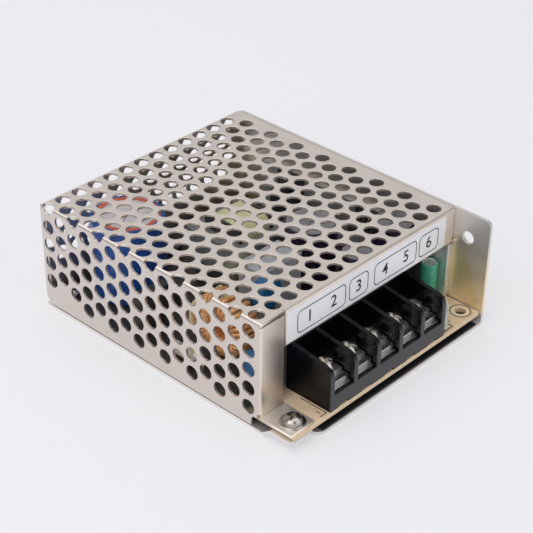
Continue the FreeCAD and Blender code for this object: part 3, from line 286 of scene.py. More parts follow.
def from_bmesh(name, shape, sharp=35):
    """An object of a mesh in millimetres, smooth but for edges sharper than an angle."""
    mesh = bpy.data.meshes.new(name)
    bmesh.ops.scale(shape, vec=(MM, MM, MM), verts=shape.verts)
    shape.to_mesh(mesh)
    shape.free()
    mesh.polygons.foreach_set("use_smooth", [True] * len(mesh.polygons))
    mesh.set_sharp_from_angle(angle=math.radians(sharp))
    return link(name, mesh)


def bevelled(name, shape, width, steps=2, sharp=35):
    """Rounds the edges of a mesh that are sharper than an angle."""
    edges = [edge for edge in shape.edges
             if len(edge.link_faces) == 2 and edge.calc_face_angle() > math.radians(sharp)]
    bmesh.ops.bevel(shape, geom=edges, offset=width, offset_type="OFFSET", segments=steps,
                    profile=0.5, affect="EDGES", clamp_overlap=True)
    return from_bmesh(name, shape)


def softened(owner, width=0.15, steps=2):
    """A copy of a CAD node with its sharp edges rounded, which stands for the node."""
    shape = bmesh.new()
    shape.from_mesh(frame["nodes"][owner].data)
    bmesh.ops.scale(shape, vec=(1 / MM,) * 3, verts=shape.verts)
    bmesh.ops.remove_doubles(shape, verts=shape.verts, dist=0.002)
    bmesh.ops.dissolve_limit(shape, angle_limit=math.radians(1), verts=shape.verts, edges=shape.edges)
    made = bevelled(owner + "_dressed", shape, width, steps)
    return piece(made, SLOT_OF[owner], owner, True)


def block(name, low, high, width=0.2, steps=2):
    """A box between two corners with rounded edges."""
    shape = bmesh.new()
    middle = (Vector(low) + Vector(high)) / 2
    size = Vector(high) - Vector(low)
    bmesh.ops.create_cube(shape, size=1.0, matrix=Matrix.Translation(middle) @ Matrix.Diagonal((*size, 1)))
    return bevelled(name, shape, width, steps)


def rounded(profile, radius, steps=4):
    """A profile whose inner corners are arcs."""
    points = [Vector(point) for point in profile]
    result = [points[0]]
    for before, corner, after in zip(points, points[1:], points[2:]):
        reach = min(radius, (before - corner).length / 2, (after - corner).length / 2)
        start = corner + (before - corner).normalized() * reach
        end = corner + (after - corner).normalized() * reach
        for step in range(steps + 1):
            part = step / steps
            result.append(start * (1 - part) ** 2 + corner * 2 * part * (1 - part) + end * part ** 2)
    return result + [points[-1]]


def lathe(name, profile, place, turn=Matrix(), steps=40):
    """Turns a profile of radius and height round an axis that stands up, or lies after a turn."""
    shape = bmesh.new()
    rings = []
    for radius, height in profile:
        if radius < 1e-6:
            rings.append([shape.verts.new((0, 0, height))])
        else:
            rings.append([shape.verts.new((radius * math.cos(math.tau * step / steps),
                                           radius * math.sin(math.tau * step / steps), height))
                          for step in range(steps)])
    for lower, upper in zip(rings, rings[1:]):
        for step in range(steps):
            corners = [lower[step % len(lower)], lower[(step + 1) % len(lower)],
                       upper[(step + 1) % len(upper)], upper[step % len(upper)]]
            unique = list(dict.fromkeys(corners))
            if len(unique) > 2:
                shape.faces.new(unique)
    bmesh.ops.remove_doubles(shape, verts=shape.verts, dist=1e-5)
    bmesh.ops.recalc_face_normals(shape, faces=shape.faces)
    shape.transform(Matrix.Translation(Vector(place)) @ turn.to_4x4())
    return from_bmesh(name, shape)


def wire(name, points, radius, closed=False, smooth=True, steps=8):
    """A round wire along a line of points."""
    curve = bpy.data.curves.new(name, "CURVE")
    curve.dimensions = "3D"
    curve.resolution_u = steps
    curve.bevel_depth = radius * MM
    curve.bevel_resolution = 3
    curve.use_fill_caps = True
    line = curve.splines.new("NURBS" if smooth else "POLY")
    line.points.add(len(points) - 1)
    for number, point in enumerate(points):
        line.points[number].co = (*(Vector(point) * MM), 1)
    line.use_cyclic_u = closed
    if smooth:
        line.order_u = 4
        line.use_endpoint_u = not closed
    holder = link(name + "_line", curve)
    mesh = evaluated_mesh(holder)
    bpy.data.objects.remove(holder)
    mesh.polygons.foreach_set("use_smooth", [True] * len(mesh.polygons))
    return link(name, mesh)


def joined(name, things):
    """Joins objects into one."""
    shape = bmesh.new()
    for thing in things:
        shape.from_mesh(thing.data)
    mesh = bpy.data.meshes.new(name)
    shape.to_mesh(mesh)
    shape.free()
    mesh.set_sharp_from_angle(angle=math.radians(35))
    for thing in things:
        bpy.data.objects.remove(thing)
    return link(name, mesh)


# Cover: a flat blank with its holes, folded round the case

SHEET = 0.8
BEND = 0.9
RIM = 0.12
PITCH = 6.1
COLUMN = PITCH * math.sqrt(3) / 2
COLUMNS = 16
ACROSS = 13
DOWN = 5
BACK_ROWS = 4
FIRST_HOLE = 4.2
HOLE = 2.25
FOOT_HOLE = 1.7
REAR_HOLE = 2.7
REAR_SCREW_UP = 7.4
ROUND = 32
SIDE_DROP = 0.72
BACK_DROP = 2.95
FLAP_TALL = 11.4
STRIP_WIDE = 9.2
SLIT = 0.4
FOOT_BEND = 0.3
SEAM = 0.3
FLOOR_GAP = 0.3
FOOT_SLIT = 0.8
REAR_CUT_TALL = 2.4
REAR_CUT_LONG = 1.6
NOTCH_TALL = 3.2
NOTCH_LONG = 3.0
NOTCH_CORNER = 0.8
FOLD_LONG = BEND * math.pi / 2
FOLD_STEPS = 6


def folded_cover():
    low, high = span("cover")
    left, right, back, tall, foot_front = low.x, high.x, high.y, high.z, low.y
    bottom = low.z + FLOOR_GAP
    front = span("label_strip")[1].y
    board = span("circuit_board")[1].z
    fold_front = front + BEND
    fold_back = back - BEND
    strip_end = left + STRIP_WIDE
    flap_start = strip_end + SLIT
    back_start = left + BEND + SLIT
    first = front + FIRST_HOLE

    # In the flat blank u runs left from the side fold and down the side, v runs along the case
    def u_of_x(x):
        return left + BEND - x

    def u_of_z(z):
        return FOLD_LONG + tall - BEND - z

    foot_fold = u_of_z(board + SHEET + FOOT_BEND)

    def arc(run):
        angle = min(max(run, 0) / BEND, math.pi / 2)
        return angle, max(run - FOLD_LONG, 0)

    def fold(u, v, depth):
        """Place and outward direction of a point of the blank at a depth below its outer face."""
        angle, run = arc(u)
        x = left + BEND - min(u, 0) - BEND * math.sin(angle)
        z = tall - BEND + BEND * math.cos(angle) - run
        y = v
        out = Vector((-math.sin(angle), 0, math.cos(angle)))
        if v < fold_front and u < 0 and x > flap_start - SLIT / 2:
            angle, run = arc(fold_front - v)
            y = fold_front - BEND * math.sin(angle)
            z = tall - BEND + BEND * math.cos(angle) - run
            out = Vector((0, -math.sin(angle), math.cos(angle)))
        elif v < fold_front and u > foot_fold:
            angle = min((u - foot_fold) / FOOT_BEND, math.pi / 2)
            run = max(u - foot_fold - FOOT_BEND * math.pi / 2, 0)
            x = left + BEND + fold_front - FOLD_LONG - v
            y = front - FOOT_BEND * (1 - math.cos(angle)) - run
            z = board + SHEET + FOOT_BEND * (1 - math.sin(angle))
            out = Vector((0, -math.cos(angle), math.sin(angle)))
        elif v < fold_front and u > FOLD_LONG + SEAM / 2:
            angle, run = arc(fold_front - v)
            x = left + BEND - BEND * math.cos(angle) + run
            y = fold_front - BEND * math.sin(angle)
            out = Vector((-math.cos(angle), -math.sin(angle), 0))
        elif v > fold_back and u < 0:
            angle, run = arc(v - fold_back)
            y = fold_back + BEND * math.sin(angle)
            z = tall - BEND + BEND * math.cos(angle) - run
            out = Vector((0, math.sin(angle), math.cos(angle)))
        return Vector((x, y, z)) - out * depth, out

    def v_flap(z):
        return fold_front - FOLD_LONG - (tall - BEND - z)

    def v_back(z):
        return fold_back + FOLD_LONG + (tall - BEND - z)

    def v_strip(x):
        return fold_front - FOLD_LONG - (x - left - BEND)

    strip_top = FOLD_LONG + SEAM
    foot_slit = foot_fold + FOOT_SLIT
    notch_top = u_of_z(bottom + NOTCH_TALL)
    foot_end = foot_fold + FOOT_BEND * math.pi / 2 + front - FOOT_BEND - foot_front
    outline = [
        (u_of_x(right), v_flap(tall - FLAP_TALL)), (u_of_x(right), v_back(bottom)),
        (u_of_x(back_start), v_back(bottom)), (u_of_x(back_start), fold_back),
        (0, fold_back), (0, back), (u_of_z(bottom + REAR_CUT_TALL), back),
        (u_of_z(bottom), back - REAR_CUT_LONG), (u_of_z(bottom), front + NOTCH_LONG),
        (notch_top + NOTCH_CORNER, front + NOTCH_LONG), (notch_top, front + NOTCH_LONG - NOTCH_CORNER),
        (notch_top, fold_front), (foot_fold, fold_front),
        (foot_fold, v_strip(left + BEND)), (foot_slit, v_strip(left + BEND)), (foot_slit, v_strip(left)),
        (foot_end, v_strip(left)), (foot_end, v_strip(strip_end)), (strip_top, v_strip(strip_end)),
        (strip_top, fold_front), (FOLD_LONG, fold_front), (FOLD_LONG, front),
        (u_of_x(strip_end), front), (u_of_x(strip_end), fold_front), (u_of_x(flap_start), fold_front),
        (u_of_x(flap_start), v_flap(tall - FLAP_TALL)),
    ]

    holes = []
    for number in range(COLUMNS):
        v = first + number * COLUMN
        odd = number % 2
        start = 1 if odd else 0.5
        holes += [(u_of_x(left + (start + step) * PITCH), v, HOLE) for step in range(ACROSS - odd)]
        holes += [(u_of_z(tall - SIDE_DROP - (start + step) * PITCH), v, HOLE) for step in range(DOWN - odd)
                  if not (number == COLUMNS - 2 and step == DOWN - 1)]
        if odd:
            holes.append((FOLD_LONG / 2, v, HOLE))
    for row in range(BACK_ROWS):
        odd = (COLUMNS + row) % 2
        start = 1 if odd else 0.5
        holes += [(u_of_x(left + (start + step) * PITCH), v_back(tall - BACK_DROP - row * COLUMN), HOLE)
                  for step in range(ACROSS - odd)]
    holes.append((u_of_x(0), v_back(REAR_SCREW_UP), REAR_HOLE))

    creases = []
    for step in range(FOLD_STEPS + 1):
        run = FOLD_LONG * step / FOLD_STEPS
        creases.append(((run, front - 1), (run, back)))
        creases.append(((u_of_x(right), fold_front - run), (u_of_x(flap_start), fold_front - run)))
        creases.append(((strip_top, fold_front - run), (foot_fold, fold_front - run)))
        creases.append(((u_of_x(right), fold_back + run), (u_of_x(back_start), fold_back + run)))
    for step in range(4):
        u = foot_fold + FOOT_BEND * math.pi / 2 * step / 3
        creases.append(((u, v_strip(left + BEND)), (u, v_strip(strip_end))))
    screw_low, screw_high = span("foot_screw")
    screw_centre = (screw_low + screw_high) / 2
    holes.append((foot_fold + FOOT_BEND * math.pi / 2 + front - FOOT_BEND - screw_centre.y,
                  v_strip(screw_centre.x), FOOT_HOLE))
    return sheet_metal("cover_folded", outline, holes, creases, fold)


def inset(outline, distance):
    """A clockwise or anticlockwise outline moved inwards by a distance."""
    points = [Vector(point) for point in outline]
    area = sum(a.x * b.y - b.x * a.y for a, b in zip(points, points[1:] + points[:1]))
    turn = 1 if area > 0 else -1
    result = []
    for number, point in enumerate(points):
        into = (point - points[number - 1]).normalized()
        onward = (points[(number + 1) % len(points)] - point).normalized()
        sides = [Vector((-way.y, way.x)) * turn for way in (into, onward)]
        mitre = (sides[0] + sides[1]) / (1 + sides[0].dot(sides[1]))
        result.append(point + mitre * distance)
    return result


def inside(point, outline):
    hit = False
    for a, b in zip(outline, outline[1:] + outline[:1]):
        if (a[1] > point[1]) != (b[1] > point[1]):
            if point[0] < (b[0] - a[0]) * (point[1] - a[1]) / (b[1] - a[1]) + a[0]:
                hit = not hit
    return hit


def sheet_metal(name, outline, holes, creases, fold):
    """A folded sheet with round holes and softened rims. Points of the blank are folded one by one."""
    border = inset(outline, RIM)
    points = list(border)
    edges = [(number, (number + 1) % len(border)) for number in range(len(border))]
    for u, v, radius in holes:
        start = len(points)
        reach = radius + RIM
        points += [Vector((u + reach * math.cos(math.tau * step / ROUND),
                           v + reach * math.sin(math.tau * step / ROUND))) for step in range(ROUND)]
        edges += [(start + step, start + (step + 1) % ROUND) for step in range(ROUND)]
    for a, b in creases:
        edges.append((len(points), len(points) + 1))
        points += [Vector(a), Vector(b)]
    flat_mesh = delaunay_2d_cdt(points, edges, [], 0, 1e-5)
    places, triangles = flat_mesh[0], flat_mesh[2]
    limit = [tuple(point) for point in border]
    cells = {}
    for u, v, radius in holes:
        cells.setdefault((round(u / PITCH), round(v / PITCH)), []).append((Vector((u, v)), radius + RIM))

    def in_hole(place):
        cell = (round(place.x / PITCH), round(place.y / PITCH))
        near = [hole for i in (-1, 0, 1) for j in (-1, 0, 1)
                for hole in cells.get((cell[0] + i, cell[1] + j), ())]
        return any((place - middle).length < reach * 0.97 for middle, reach in near)

    kept = []
    for triangle in triangles:
        middle = (places[triangle[0]] + places[triangle[1]] + places[triangle[2]]) / 3
        if not in_hole(middle) and inside(middle, limit):
            kept.append(triangle)
    borders = {}
    for a, b, c in kept:
        for edge in ((a, b), (b, c), (c, a)):
            if (edge[1], edge[0]) in borders:
                del borders[(edge[1], edge[0])]
            else:
                borders[edge] = True
    outwards = {}
    for a, b in borders:
        way = (places[b] - places[a]).normalized()
        side = Vector((way.y, -way.x))
        for end in (a, b):
            outwards.setdefault(end, []).append(side)
    mitres = {}
    for end, sides in outwards.items():
        if len(sides) == 2:
            mitres[end] = (sides[0] + sides[1]) / (1 + sides[0].dot(sides[1]))
        else:
            mitres[end] = sides[0]

    needed = sorted({index for triangle in kept for index in triangle})
    vertices, normals, faces = [], [], []
    rings = []
    quarter = [0, math.pi / 4, math.pi / 2]
    profile = [(RIM * math.sin(a), RIM * (1 - math.cos(a)), math.cos(a), math.sin(a)) for a in quarter]
    profile += [(shift, SHEET - depth, -up, out) for shift, depth, up, out in reversed(profile)]
    for shift, depth, up, out in profile:
        ring = {}
        whole = abs(out) < 1e-9
        for index in (needed if whole else mitres):
            flat = places[index]
            mitre = mitres.get(index, Vector((0, 0)))
            moved = flat + mitre * shift
            place, normal = fold(moved.x, moved.y, depth)
            if mitre.length > 0 and out > 0:
                step = flat + mitre * 0.01
                side = fold(step.x, step.y, depth)[0] - fold(flat.x, flat.y, depth)[0]
                normal = (normal * up + side.normalized() * out).normalized()
            else:
                normal = normal * (1 if up > 0 else -1)
            ring[index] = len(vertices)
            vertices.append(place)
            normals.append(normal)
        rings.append(ring)
    for a, b, c in kept:
        faces.append((rings[0][c], rings[0][b], rings[0][a]))
        faces.append((rings[-1][a], rings[-1][b], rings[-1][c]))
    for upper, lower in zip(rings, rings[1:]):
        faces += [(upper[a], upper[b], lower[b], lower[a]) for a, b in borders]
    mesh = bpy.data.meshes.new(name)
    mesh.from_pydata([place * MM for place in vertices], [], faces)
    mesh.polygons.foreach_set("use_smooth", [True] * len(mesh.polygons))
    mesh.normals_split_custom_set_from_vertices(normals)
    return link(name, mesh)


piece(folded_cover(), "cover_steel", "cover", True, level=False)


# Sheet parts, board and block with rounded edges

softened("chassis", 0.12)
softened("circuit_board", 0.08, 1)
softened("insulating_film", 0.05, 1)
softened("terminal_block", 0.22)
softened("terminal_contacts", 0.12)
softened("heat_spreader", 0.25)


# A black strip in the film's material at the front, between the board and the base

LIP_INSET = 0.35
LIP_START = 2.4
LIP_LAP = 0.2
LIP_DOWN = 0.05


def front_black_strip():
    low, high = span("insulating_film")
    front = span("chassis")[0].y + LIP_INSET
    start = span("cover")[0].x + STRIP_WIDE + LIP_START
    lip = block("front_black_strip", (start, front, low.z), (high.x, low.y + LIP_LAP, high.z - LIP_DOWN), 0.05, 1)
    piece(lip, "black_film", "insulating_film")


front_black_strip()


# Print on the label: frames with plain numbers

LABEL_FRAMES = [(3.9, 23.0, "12"), (24.6, 32.3, "3"), (35.1, 53.3, "45"), (54.7, 63.2, "6")]
LABEL_LINE = 0.24
LABEL_MARGIN = 1.2
LABEL_HEADROOM = 0.6
LABEL_ROUND = 1.5
LABEL_FIGURE = 5.2


def rounded_frame(x0, x1, z0, z1, y, radius):
    """Points of a rectangle with round corners in an upright plane."""
    points = []
    for cx, cz, start in ((x1 - radius, z1 - radius, 0), (x0 + radius, z1 - radius, 90),
                          (x0 + radius, z0 + radius, 180), (x1 - radius, z0 + radius, 270)):
        for step in range(7):
            angle = math.radians(start + step * 15)
            points.append((cx + radius * math.cos(angle), y, cz + radius * math.sin(angle)))
    return points


def figure(name, text, place, size, turn):
    """A printed figure as a thin mesh."""
    data = bpy.data.curves.new(name, "FONT")
    data.body = text
    data.size = size * MM
    data.align_x = "CENTER"
    data.align_y = "CENTER"
    data.extrude = 0.02 * MM
    data.offset = 0.05 * MM
    holder = link(name + "_text", data)
    holder.matrix_world = Matrix.Translation(Vector(place) * MM) @ turn
    mesh = evaluated_mesh(holder)
    mesh.transform(holder.matrix_world)
    bpy.data.objects.remove(holder)
    return link(name, mesh)


def label_print():
    low, high = span("label_strip")
    face = low.y
    upright = Matrix.Rotation(math.pi / 2, 4, "X")
    printed = []
    for number, (start, end, text) in enumerate(LABEL_FRAMES):
        x0, x1 = low.x + start, low.x + end
        z0, z1 = low.z + LABEL_MARGIN, high.z - LABEL_MARGIN - LABEL_HEADROOM
        outline = rounded_frame(x0, x1, z0, z1, face + LABEL_LINE * 0.7, LABEL_ROUND)
        printed.append(wire(f"label_frame_{number}", outline, LABEL_LINE, closed=True, smooth=False))
        for place, character in enumerate(text):
            x = x0 + (x1 - x0) * (place + 0.5) / len(text)
            printed.append(figure(f"label_figure_{character}", character, (x, face - 0.01, (z0 + z1) / 2),
                                  LABEL_FIGURE, upright))
    piece(joined("label_print", printed), "print", "label_strip")


label_print()


# Screws with crossed recesses

THREAD_PITCH = 0.5


def carve(target, cutters):
    """Cuts shapes out of an object."""
    for cutter in cutters:
        cutting = target.modifiers.new("cut", "BOOLEAN")
        cutting.operation = "DIFFERENCE"
        cutting.solver = "EXACT"
        cutting.object = cutter
    mesh = evaluated_mesh(target)
    target.modifiers.clear()
    target.data = mesh
    for cutter in cutters:
        bpy.data.objects.remove(cutter)
    mesh.polygons.foreach_set("use_smooth", [True] * len(mesh.polygons))
    mesh.set_sharp_from_angle(angle=math.radians(30))
    return target


def screw(name, place, head, head_tall, thread, reach, turn=Matrix(), slotted=False, spin=0.0, flat=False,
          collar=0.0):
    """A screw whose head stands on its place, with a cross and, for terminals, a slot."""
    dome = 0.0 if flat else head_tall * 0.3
    profile = [(0, head_tall), (head * 0.22, head_tall - dome * 0.08), (head * 0.38, head_tall - dome * 0.45),
               (head * 0.47, head_tall - dome * 1.3), (head * 0.5, head_tall * 0.35), (head * 0.5, 0.12),
               (head * 0.48, 0), (thread * 0.5, 0)]
    if collar:
        rise = [(head * 0.44, head_tall * 0.4), (head * 0.46, 0.55), (collar * 0.48, 0.45),
                (collar * 0.5, 0.3), (collar * 0.5, 0.1), (collar * 0.49, 0), (thread * 0.5, 0)]
        profile = [(radius * 0.92, height) for radius, height in profile[:4]] + rise
    if flat:
        profile = [(0, 0), (head * 0.48, 0), (head * 0.5, -0.1), (thread * 0.5, -head_tall)]
    for number in range(int(reach / THREAD_PITCH)):
        down = -head_tall * flat - 0.15 - number * THREAD_PITCH
        profile += [(thread * 0.5, down), (thread * 0.42, down - 0.2)]
    profile += [(0, -head_tall * flat - reach)]
    made = lathe(name, profile, (0, 0, 0), steps=32)
    top = 0 if flat else head_tall
    deep = head_tall * 0.55
    cutters = []
    arms = ((head * 0.62, thread * 0.26), (thread * 0.26, head * 0.62))
    if slotted:
        arms = ((head * 1.1, thread * 0.24), (thread * 0.26, head * 0.62))
    for wide, long in arms:
        low = (-wide / 2, -long / 2, top - deep)
        cutters.append(block(name + "_arm", low, (wide / 2, long / 2, top + 1), 0.05, 1))
    cutters.append(lathe(name + "_point", [(0, top - deep * 1.5), (thread * 0.32, top + 0.5), (0, top + 0.5)],
                         (0, 0, 0), steps=12))
    carve(made, cutters)
    spun = turn.to_4x4() @ Matrix.Rotation(spin, 4, "Z")
    made.data.transform(Matrix.Translation(Vector(place) * MM) @ spun)
    return made


HEAD = 6.0
COLLAR = 7.3
THREAD = 3.0
POLE_THREAD = 3.4
FLAT_DEEP = 0.4
DEVICE_TAB = 1.3

random.seed(7)
for pole in range(1, 6):
    owner = f"terminal_screw_{pole}"
    low, high = span(owner)
    clamp_low, clamp_high = span(f"clamp_plate_{pole}")
    centre = (low + high) / 2
    seat = clamp_high.z
    head_place = (centre.x, centre.y, seat)
    piece(screw(f"terminal_screw_dressed_{pole}", head_place, HEAD, high.z - seat, POLE_THREAD,
                seat - low.z, slotted=True, spin=random.uniform(-0.9, 0.9)), "terminal_steel", owner, True)
    plate = block(f"clamp_plate_dressed_{pole}", clamp_low, clamp_high, 0.2)
    piece(plate, "terminal_steel", f"clamp_plate_{pole}", True)


def case_screws():
    low, high = span("foot_screw")
    foot_top = span("circuit_board")[1].z + SHEET
    centre = (low + high) / 2
    piece(screw("foot_screw_dressed", (centre.x, centre.y, foot_top), HEAD, high.z - foot_top, THREAD,
                foot_top - low.z, spin=0.35, collar=COLLAR), "screw_steel", "foot_screw", True)
    low, high = span("board_screws")
    top = span("circuit_board")[1].z
    pair = [screw(f"board_screw_{x > 0}", (x, (low.y + high.y) / 2, top), HEAD, high.z - top, THREAD,
                  top - low.z, spin=x) for x in (low.x + HEAD / 2, high.x - HEAD / 2)]
    piece(joined("board_screws_dressed", pair), "screw_steel", "board_screws", True)
    low, high = span("rear_screw")
    lying = Matrix.Rotation(-math.pi / 2, 3, "X")
    piece(screw("rear_screw_dressed", ((low.x + high.x) / 2, high.y, (low.z + high.z) / 2), high.x - low.x,
                FLAT_DEEP, THREAD, high.y - low.y - FLAT_DEEP, lying, spin=0.6, flat=True),
          "screw_steel", "rear_screw", True)
    low, high = span("device_screws")
    tab = span("heat_spreader")[0].x - DEVICE_TAB
    lying = Matrix.Rotation(-math.pi / 2, 3, "Y")
    pair = []
    for number, device in enumerate(("output_rectifier", "switching_transistor")):
        device_low, device_high = span(device)
        place = (tab, (device_low.y + device_high.y) / 2, (low.z + high.z) / 2)
        pair.append(screw(f"device_screw_{number}", place, HEAD, tab - low.x, THREAD, high.x - tab, lying,
                          spin=number))
    piece(joined("device_screws_dressed", pair), "screw_steel", "device_screws", True)


case_screws()


# Cans with sleeves, rolled tops and vents

VENT_HALF = 0.12
VENT_REACH = 0.6
VENT_DEEP = 0.36
VENT_TURN = 0.5


def can(owner, top_look="can_top", ring=None, bare=0.86):
    """An upright capacitor: a shrink sleeve drawn over its shoulder, and the can's scored top."""
    place, radius, tall = upright(owner)
    groove = tall - radius * 0.45
    side = [(0, 0), (radius * 0.9, 0), (radius, 0.4), (radius, groove * 0.12), (radius * 0.97, groove * 0.16),
            (radius, groove * 0.2), (radius, tall - 0.5), (radius * 0.975, tall - 0.12),
            (radius * 0.93, tall), (radius * bare, tall - 0.02), (radius * bare, tall - 0.3), (0, tall - 0.3)]
    body = lathe(owner + "_sleeve", rounded(side, 0.3, 3), place)
    piece(body, SLOT_OF[owner], owner, True)
    lid = lathe(owner + "_top", rounded([(0, tall - 0.28), (radius * bare * 0.86, tall - 0.28),
                                         (radius * bare * 0.93, tall - 0.1), (radius * bare, tall - 0.12),
                                         (radius * bare, tall - 0.4)], 0.15, 3), place)
    reach = radius * VENT_REACH
    cuts = [block(owner + "_vent", (-x, -y, tall - VENT_DEEP), (x, y, tall), 0.02, 1)
            for x, y in ((reach, VENT_HALF), (VENT_HALF, reach))]
    for cutter in cuts:
        cutter.data.transform(Matrix.Translation(Vector(place) * MM) @ Matrix.Rotation(VENT_TURN, 4, "Z"))
    piece(carve(lid, cuts), top_look, owner)
    if ring:
        band = lathe(owner + "_band", rounded([(radius * bare, tall - 0.3), (radius * bare, tall + 0.03),
                                               (radius * (bare + 0.13), tall + 0.03),
                                               (radius * (bare + 0.14), tall - 0.3)], 0.1, 2), place)
        piece(band, ring, owner)


can("bulk_capacitor", "bulk_top", ring="bulk_band", bare=0.74)
can("small_capacitor")
for number in range(1, 4):
    can(f"output_capacitor_{number}", "output_top", bare=0.9)


# Light and choke

LENS = 0.86
LEG_PITCH = 1.27


def indicator():
    place, radius, tall = upright("indicator_led")
    profile = [(0, 0.8), (radius, 0.8), (radius, 2.0), (radius * LENS, 2.2), (radius * LENS, tall - radius)]
    profile += [(radius * LENS * math.cos(a), tall - radius + radius * math.sin(a))
                for a in (math.radians(15 * step) for step in range(1, 7))]
    piece(lathe("indicator_lens", profile, place), "led_green", "indicator_led", True)
    feet = [place + Vector((side, 0, 0)) for side in (-LEG_PITCH / 2, LEG_PITCH / 2)]
    legs = [wire("indicator_leg", [foot, foot + Vector((0, 0, 1.4))], 0.25, smooth=False) for foot in feet]
    piece(joined("indicator_legs", legs), "tinned_contact", "indicator_led")


indicator()


CHOKE_TURNS = 15
CHOKE_SWEEP = 160
CHOKE_BORE = 9.0 / 17.0
WOUND_BORE = 0.5
TAPE_START = -35
TAPE_SWEEP = 80
TAPE_STEPS = 18


def choke_turns():
    """Copper turns round the two halves of the standing ring."""
    low, high = span("choke_core")
    centre = (low + high) / 2
    outer = (high.z - low.z) / 2
    wound_low, wound_high = span("choke_windings")
    wrap = (wound_high.x - wound_low.x - (high.x - low.x)) / 4
    half = (high.x - low.x) / 2 + wrap
    inner = outer * WOUND_BORE
    wires = []
    for side in (0, math.pi):
        for turn in range(CHOKE_TURNS):
            start = side + math.radians(CHOKE_SWEEP * (turn / (CHOKE_TURNS - 1) - 0.5))
            lean = math.radians(CHOKE_SWEEP / (CHOKE_TURNS - 1)) * 0.5
            points = []
            for across, radial, part in ((-half, outer, 0), (-half * 0.4, outer + wrap, 0.12),
                                         (half * 0.4, outer + wrap, 0.3), (half, outer, 0.4),
                                         (half, inner, 0.6), (half * 0.4, inner - wrap * 0.6, 0.7),
                                         (-half * 0.4, inner - wrap * 0.6, 0.85), (-half, inner, 1)):
                angle = start + lean * part
                points.append((centre.x + across, centre.y + radial * math.cos(angle),
                               centre.z + radial * math.sin(angle)))
            wires.append(wire(f"choke_turn_{turn}", points, wrap * 0.8, closed=True, steps=5))
    piece(joined("choke_turns", wires), "copper_wire", "choke_windings", True, level=False)


def choke_ring():
    low, high = span("choke_core")
    centre = (low + high) / 2
    outer = (high.z - low.z) / 2
    inner = outer * CHOKE_BORE
    half = (high.x - low.x) / 2
    profile = rounded([(inner, 0), (inner, half), (outer, half), (outer, -half), (inner, -half),
                       (inner, 0)], 0.8)
    ring = lathe("choke_ring", profile, centre, Matrix.Rotation(math.pi / 2, 3, "Y"))
    piece(ring, "choke_core", "choke_core", True)


def choke_tape():
    """Cream tape over the back of the windings."""
    low, high = span("choke_windings")
    centre = (low + high) / 2
    radius = (high.z - low.z) / 2
    half = (high.x - low.x) / 2
    shape = bmesh.new()
    rows = []
    for step in range(TAPE_STEPS + 1):
        angle = math.radians(TAPE_START + TAPE_SWEEP * step / TAPE_STEPS)
        rows.append([shape.verts.new((centre.x + across, centre.y + reach * math.cos(angle),
                                      centre.z + reach * math.sin(angle)))
                     for across, reach in ((-half, radius - 1.2), (-half, radius - 0.1), (half, radius - 0.1),
                                           (half, radius - 1.2))])
    for one, other in zip(rows, rows[1:]):
        for step in range(4):
            shape.faces.new([one[step], one[(step + 1) % 4], other[(step + 1) % 4], other[step]])
    shape.faces.new(rows[0])
    shape.faces.new(rows[-1])
    bmesh.ops.recalc_face_normals(shape, faces=shape.faces)
    piece(bevelled("choke_tape", shape, 0.3), "cream_tape", "choke_windings")


choke_turns()
choke_ring()
choke_tape()


# Discs on edge, barrels on bent wires, the drum and the adjuster's wheel

WIRE = 0.4
LYING = {"x": Matrix.Rotation(math.pi / 2, 3, "Y"), "y": Matrix.Rotation(math.pi / 2, 3, "X")}
ALONG = {"x": Vector((1, 0, 0)), "y": Vector((0, 1, 0))}


def coin(owner, axis):
    """A coated disc on edge whose two wires go down to the board."""
    low, high = span(owner)
    centre = (low + high) / 2
    across = "y" if axis == "x" else "x"
    radius = getattr(high - low, across) / 2
    half = getattr(high - low, axis) / 2
    middle = Vector((centre.x, centre.y, high.z - radius))
    profile = rounded([(0, -half), (radius, -half), (radius, half), (0, half)], half * 1.1, 6)
    piece(lathe(owner + "_disc", profile, middle, LYING[axis]), SLOT_OF[owner], owner, True)
    wires = []
    for sign in (-1, 1):
        foot = Vector((centre.x, centre.y, low.z)) + ALONG[across] * radius * 0.6 * sign
        rise = Vector((0, 0, middle.z - low.z))
        kink = foot + rise * 0.4 + ALONG[across] * 0.3 * sign
        wires.append(wire("lead", [foot, foot + Vector((0, 0, 0.6)), kink, foot + rise], WIRE))
    piece(joined(owner + "_wires", wires), "tinned_contact", owner)


coin("thermistor", "y")
coin("varistor", "x")
coin("safety_capacitor", "y")


def barrel(name, owner, middle, axis, radius, long, swell=0.0):
    """A barrel lying on two bent wires, with ends that swell when it's dipped and waisted."""
    half = long / 2
    profile = rounded([(0, -half), (radius, -half), (radius, -half * 0.62), (radius - swell, -half * 0.45),
                       (radius - swell, half * 0.45), (radius, half * 0.62), (radius, half), (0, half)], 0.5)
    foot = span(owner)[0].z
    wires = []
    for sign in (-1, 1):
        tip = middle + ALONG[axis] * (half - 0.2) * sign
        bend = middle + ALONG[axis] * (half + 1.0) * sign
        wires.append(wire("lead", [tip, tip.lerp(bend, 0.7), bend, bend - Vector((0, 0, 0.7)),
                                   Vector((bend.x, bend.y, foot))], WIRE))
    body = lathe(name, profile, middle, LYING[axis], 28)
    return body, joined(name + "_leads", wires)


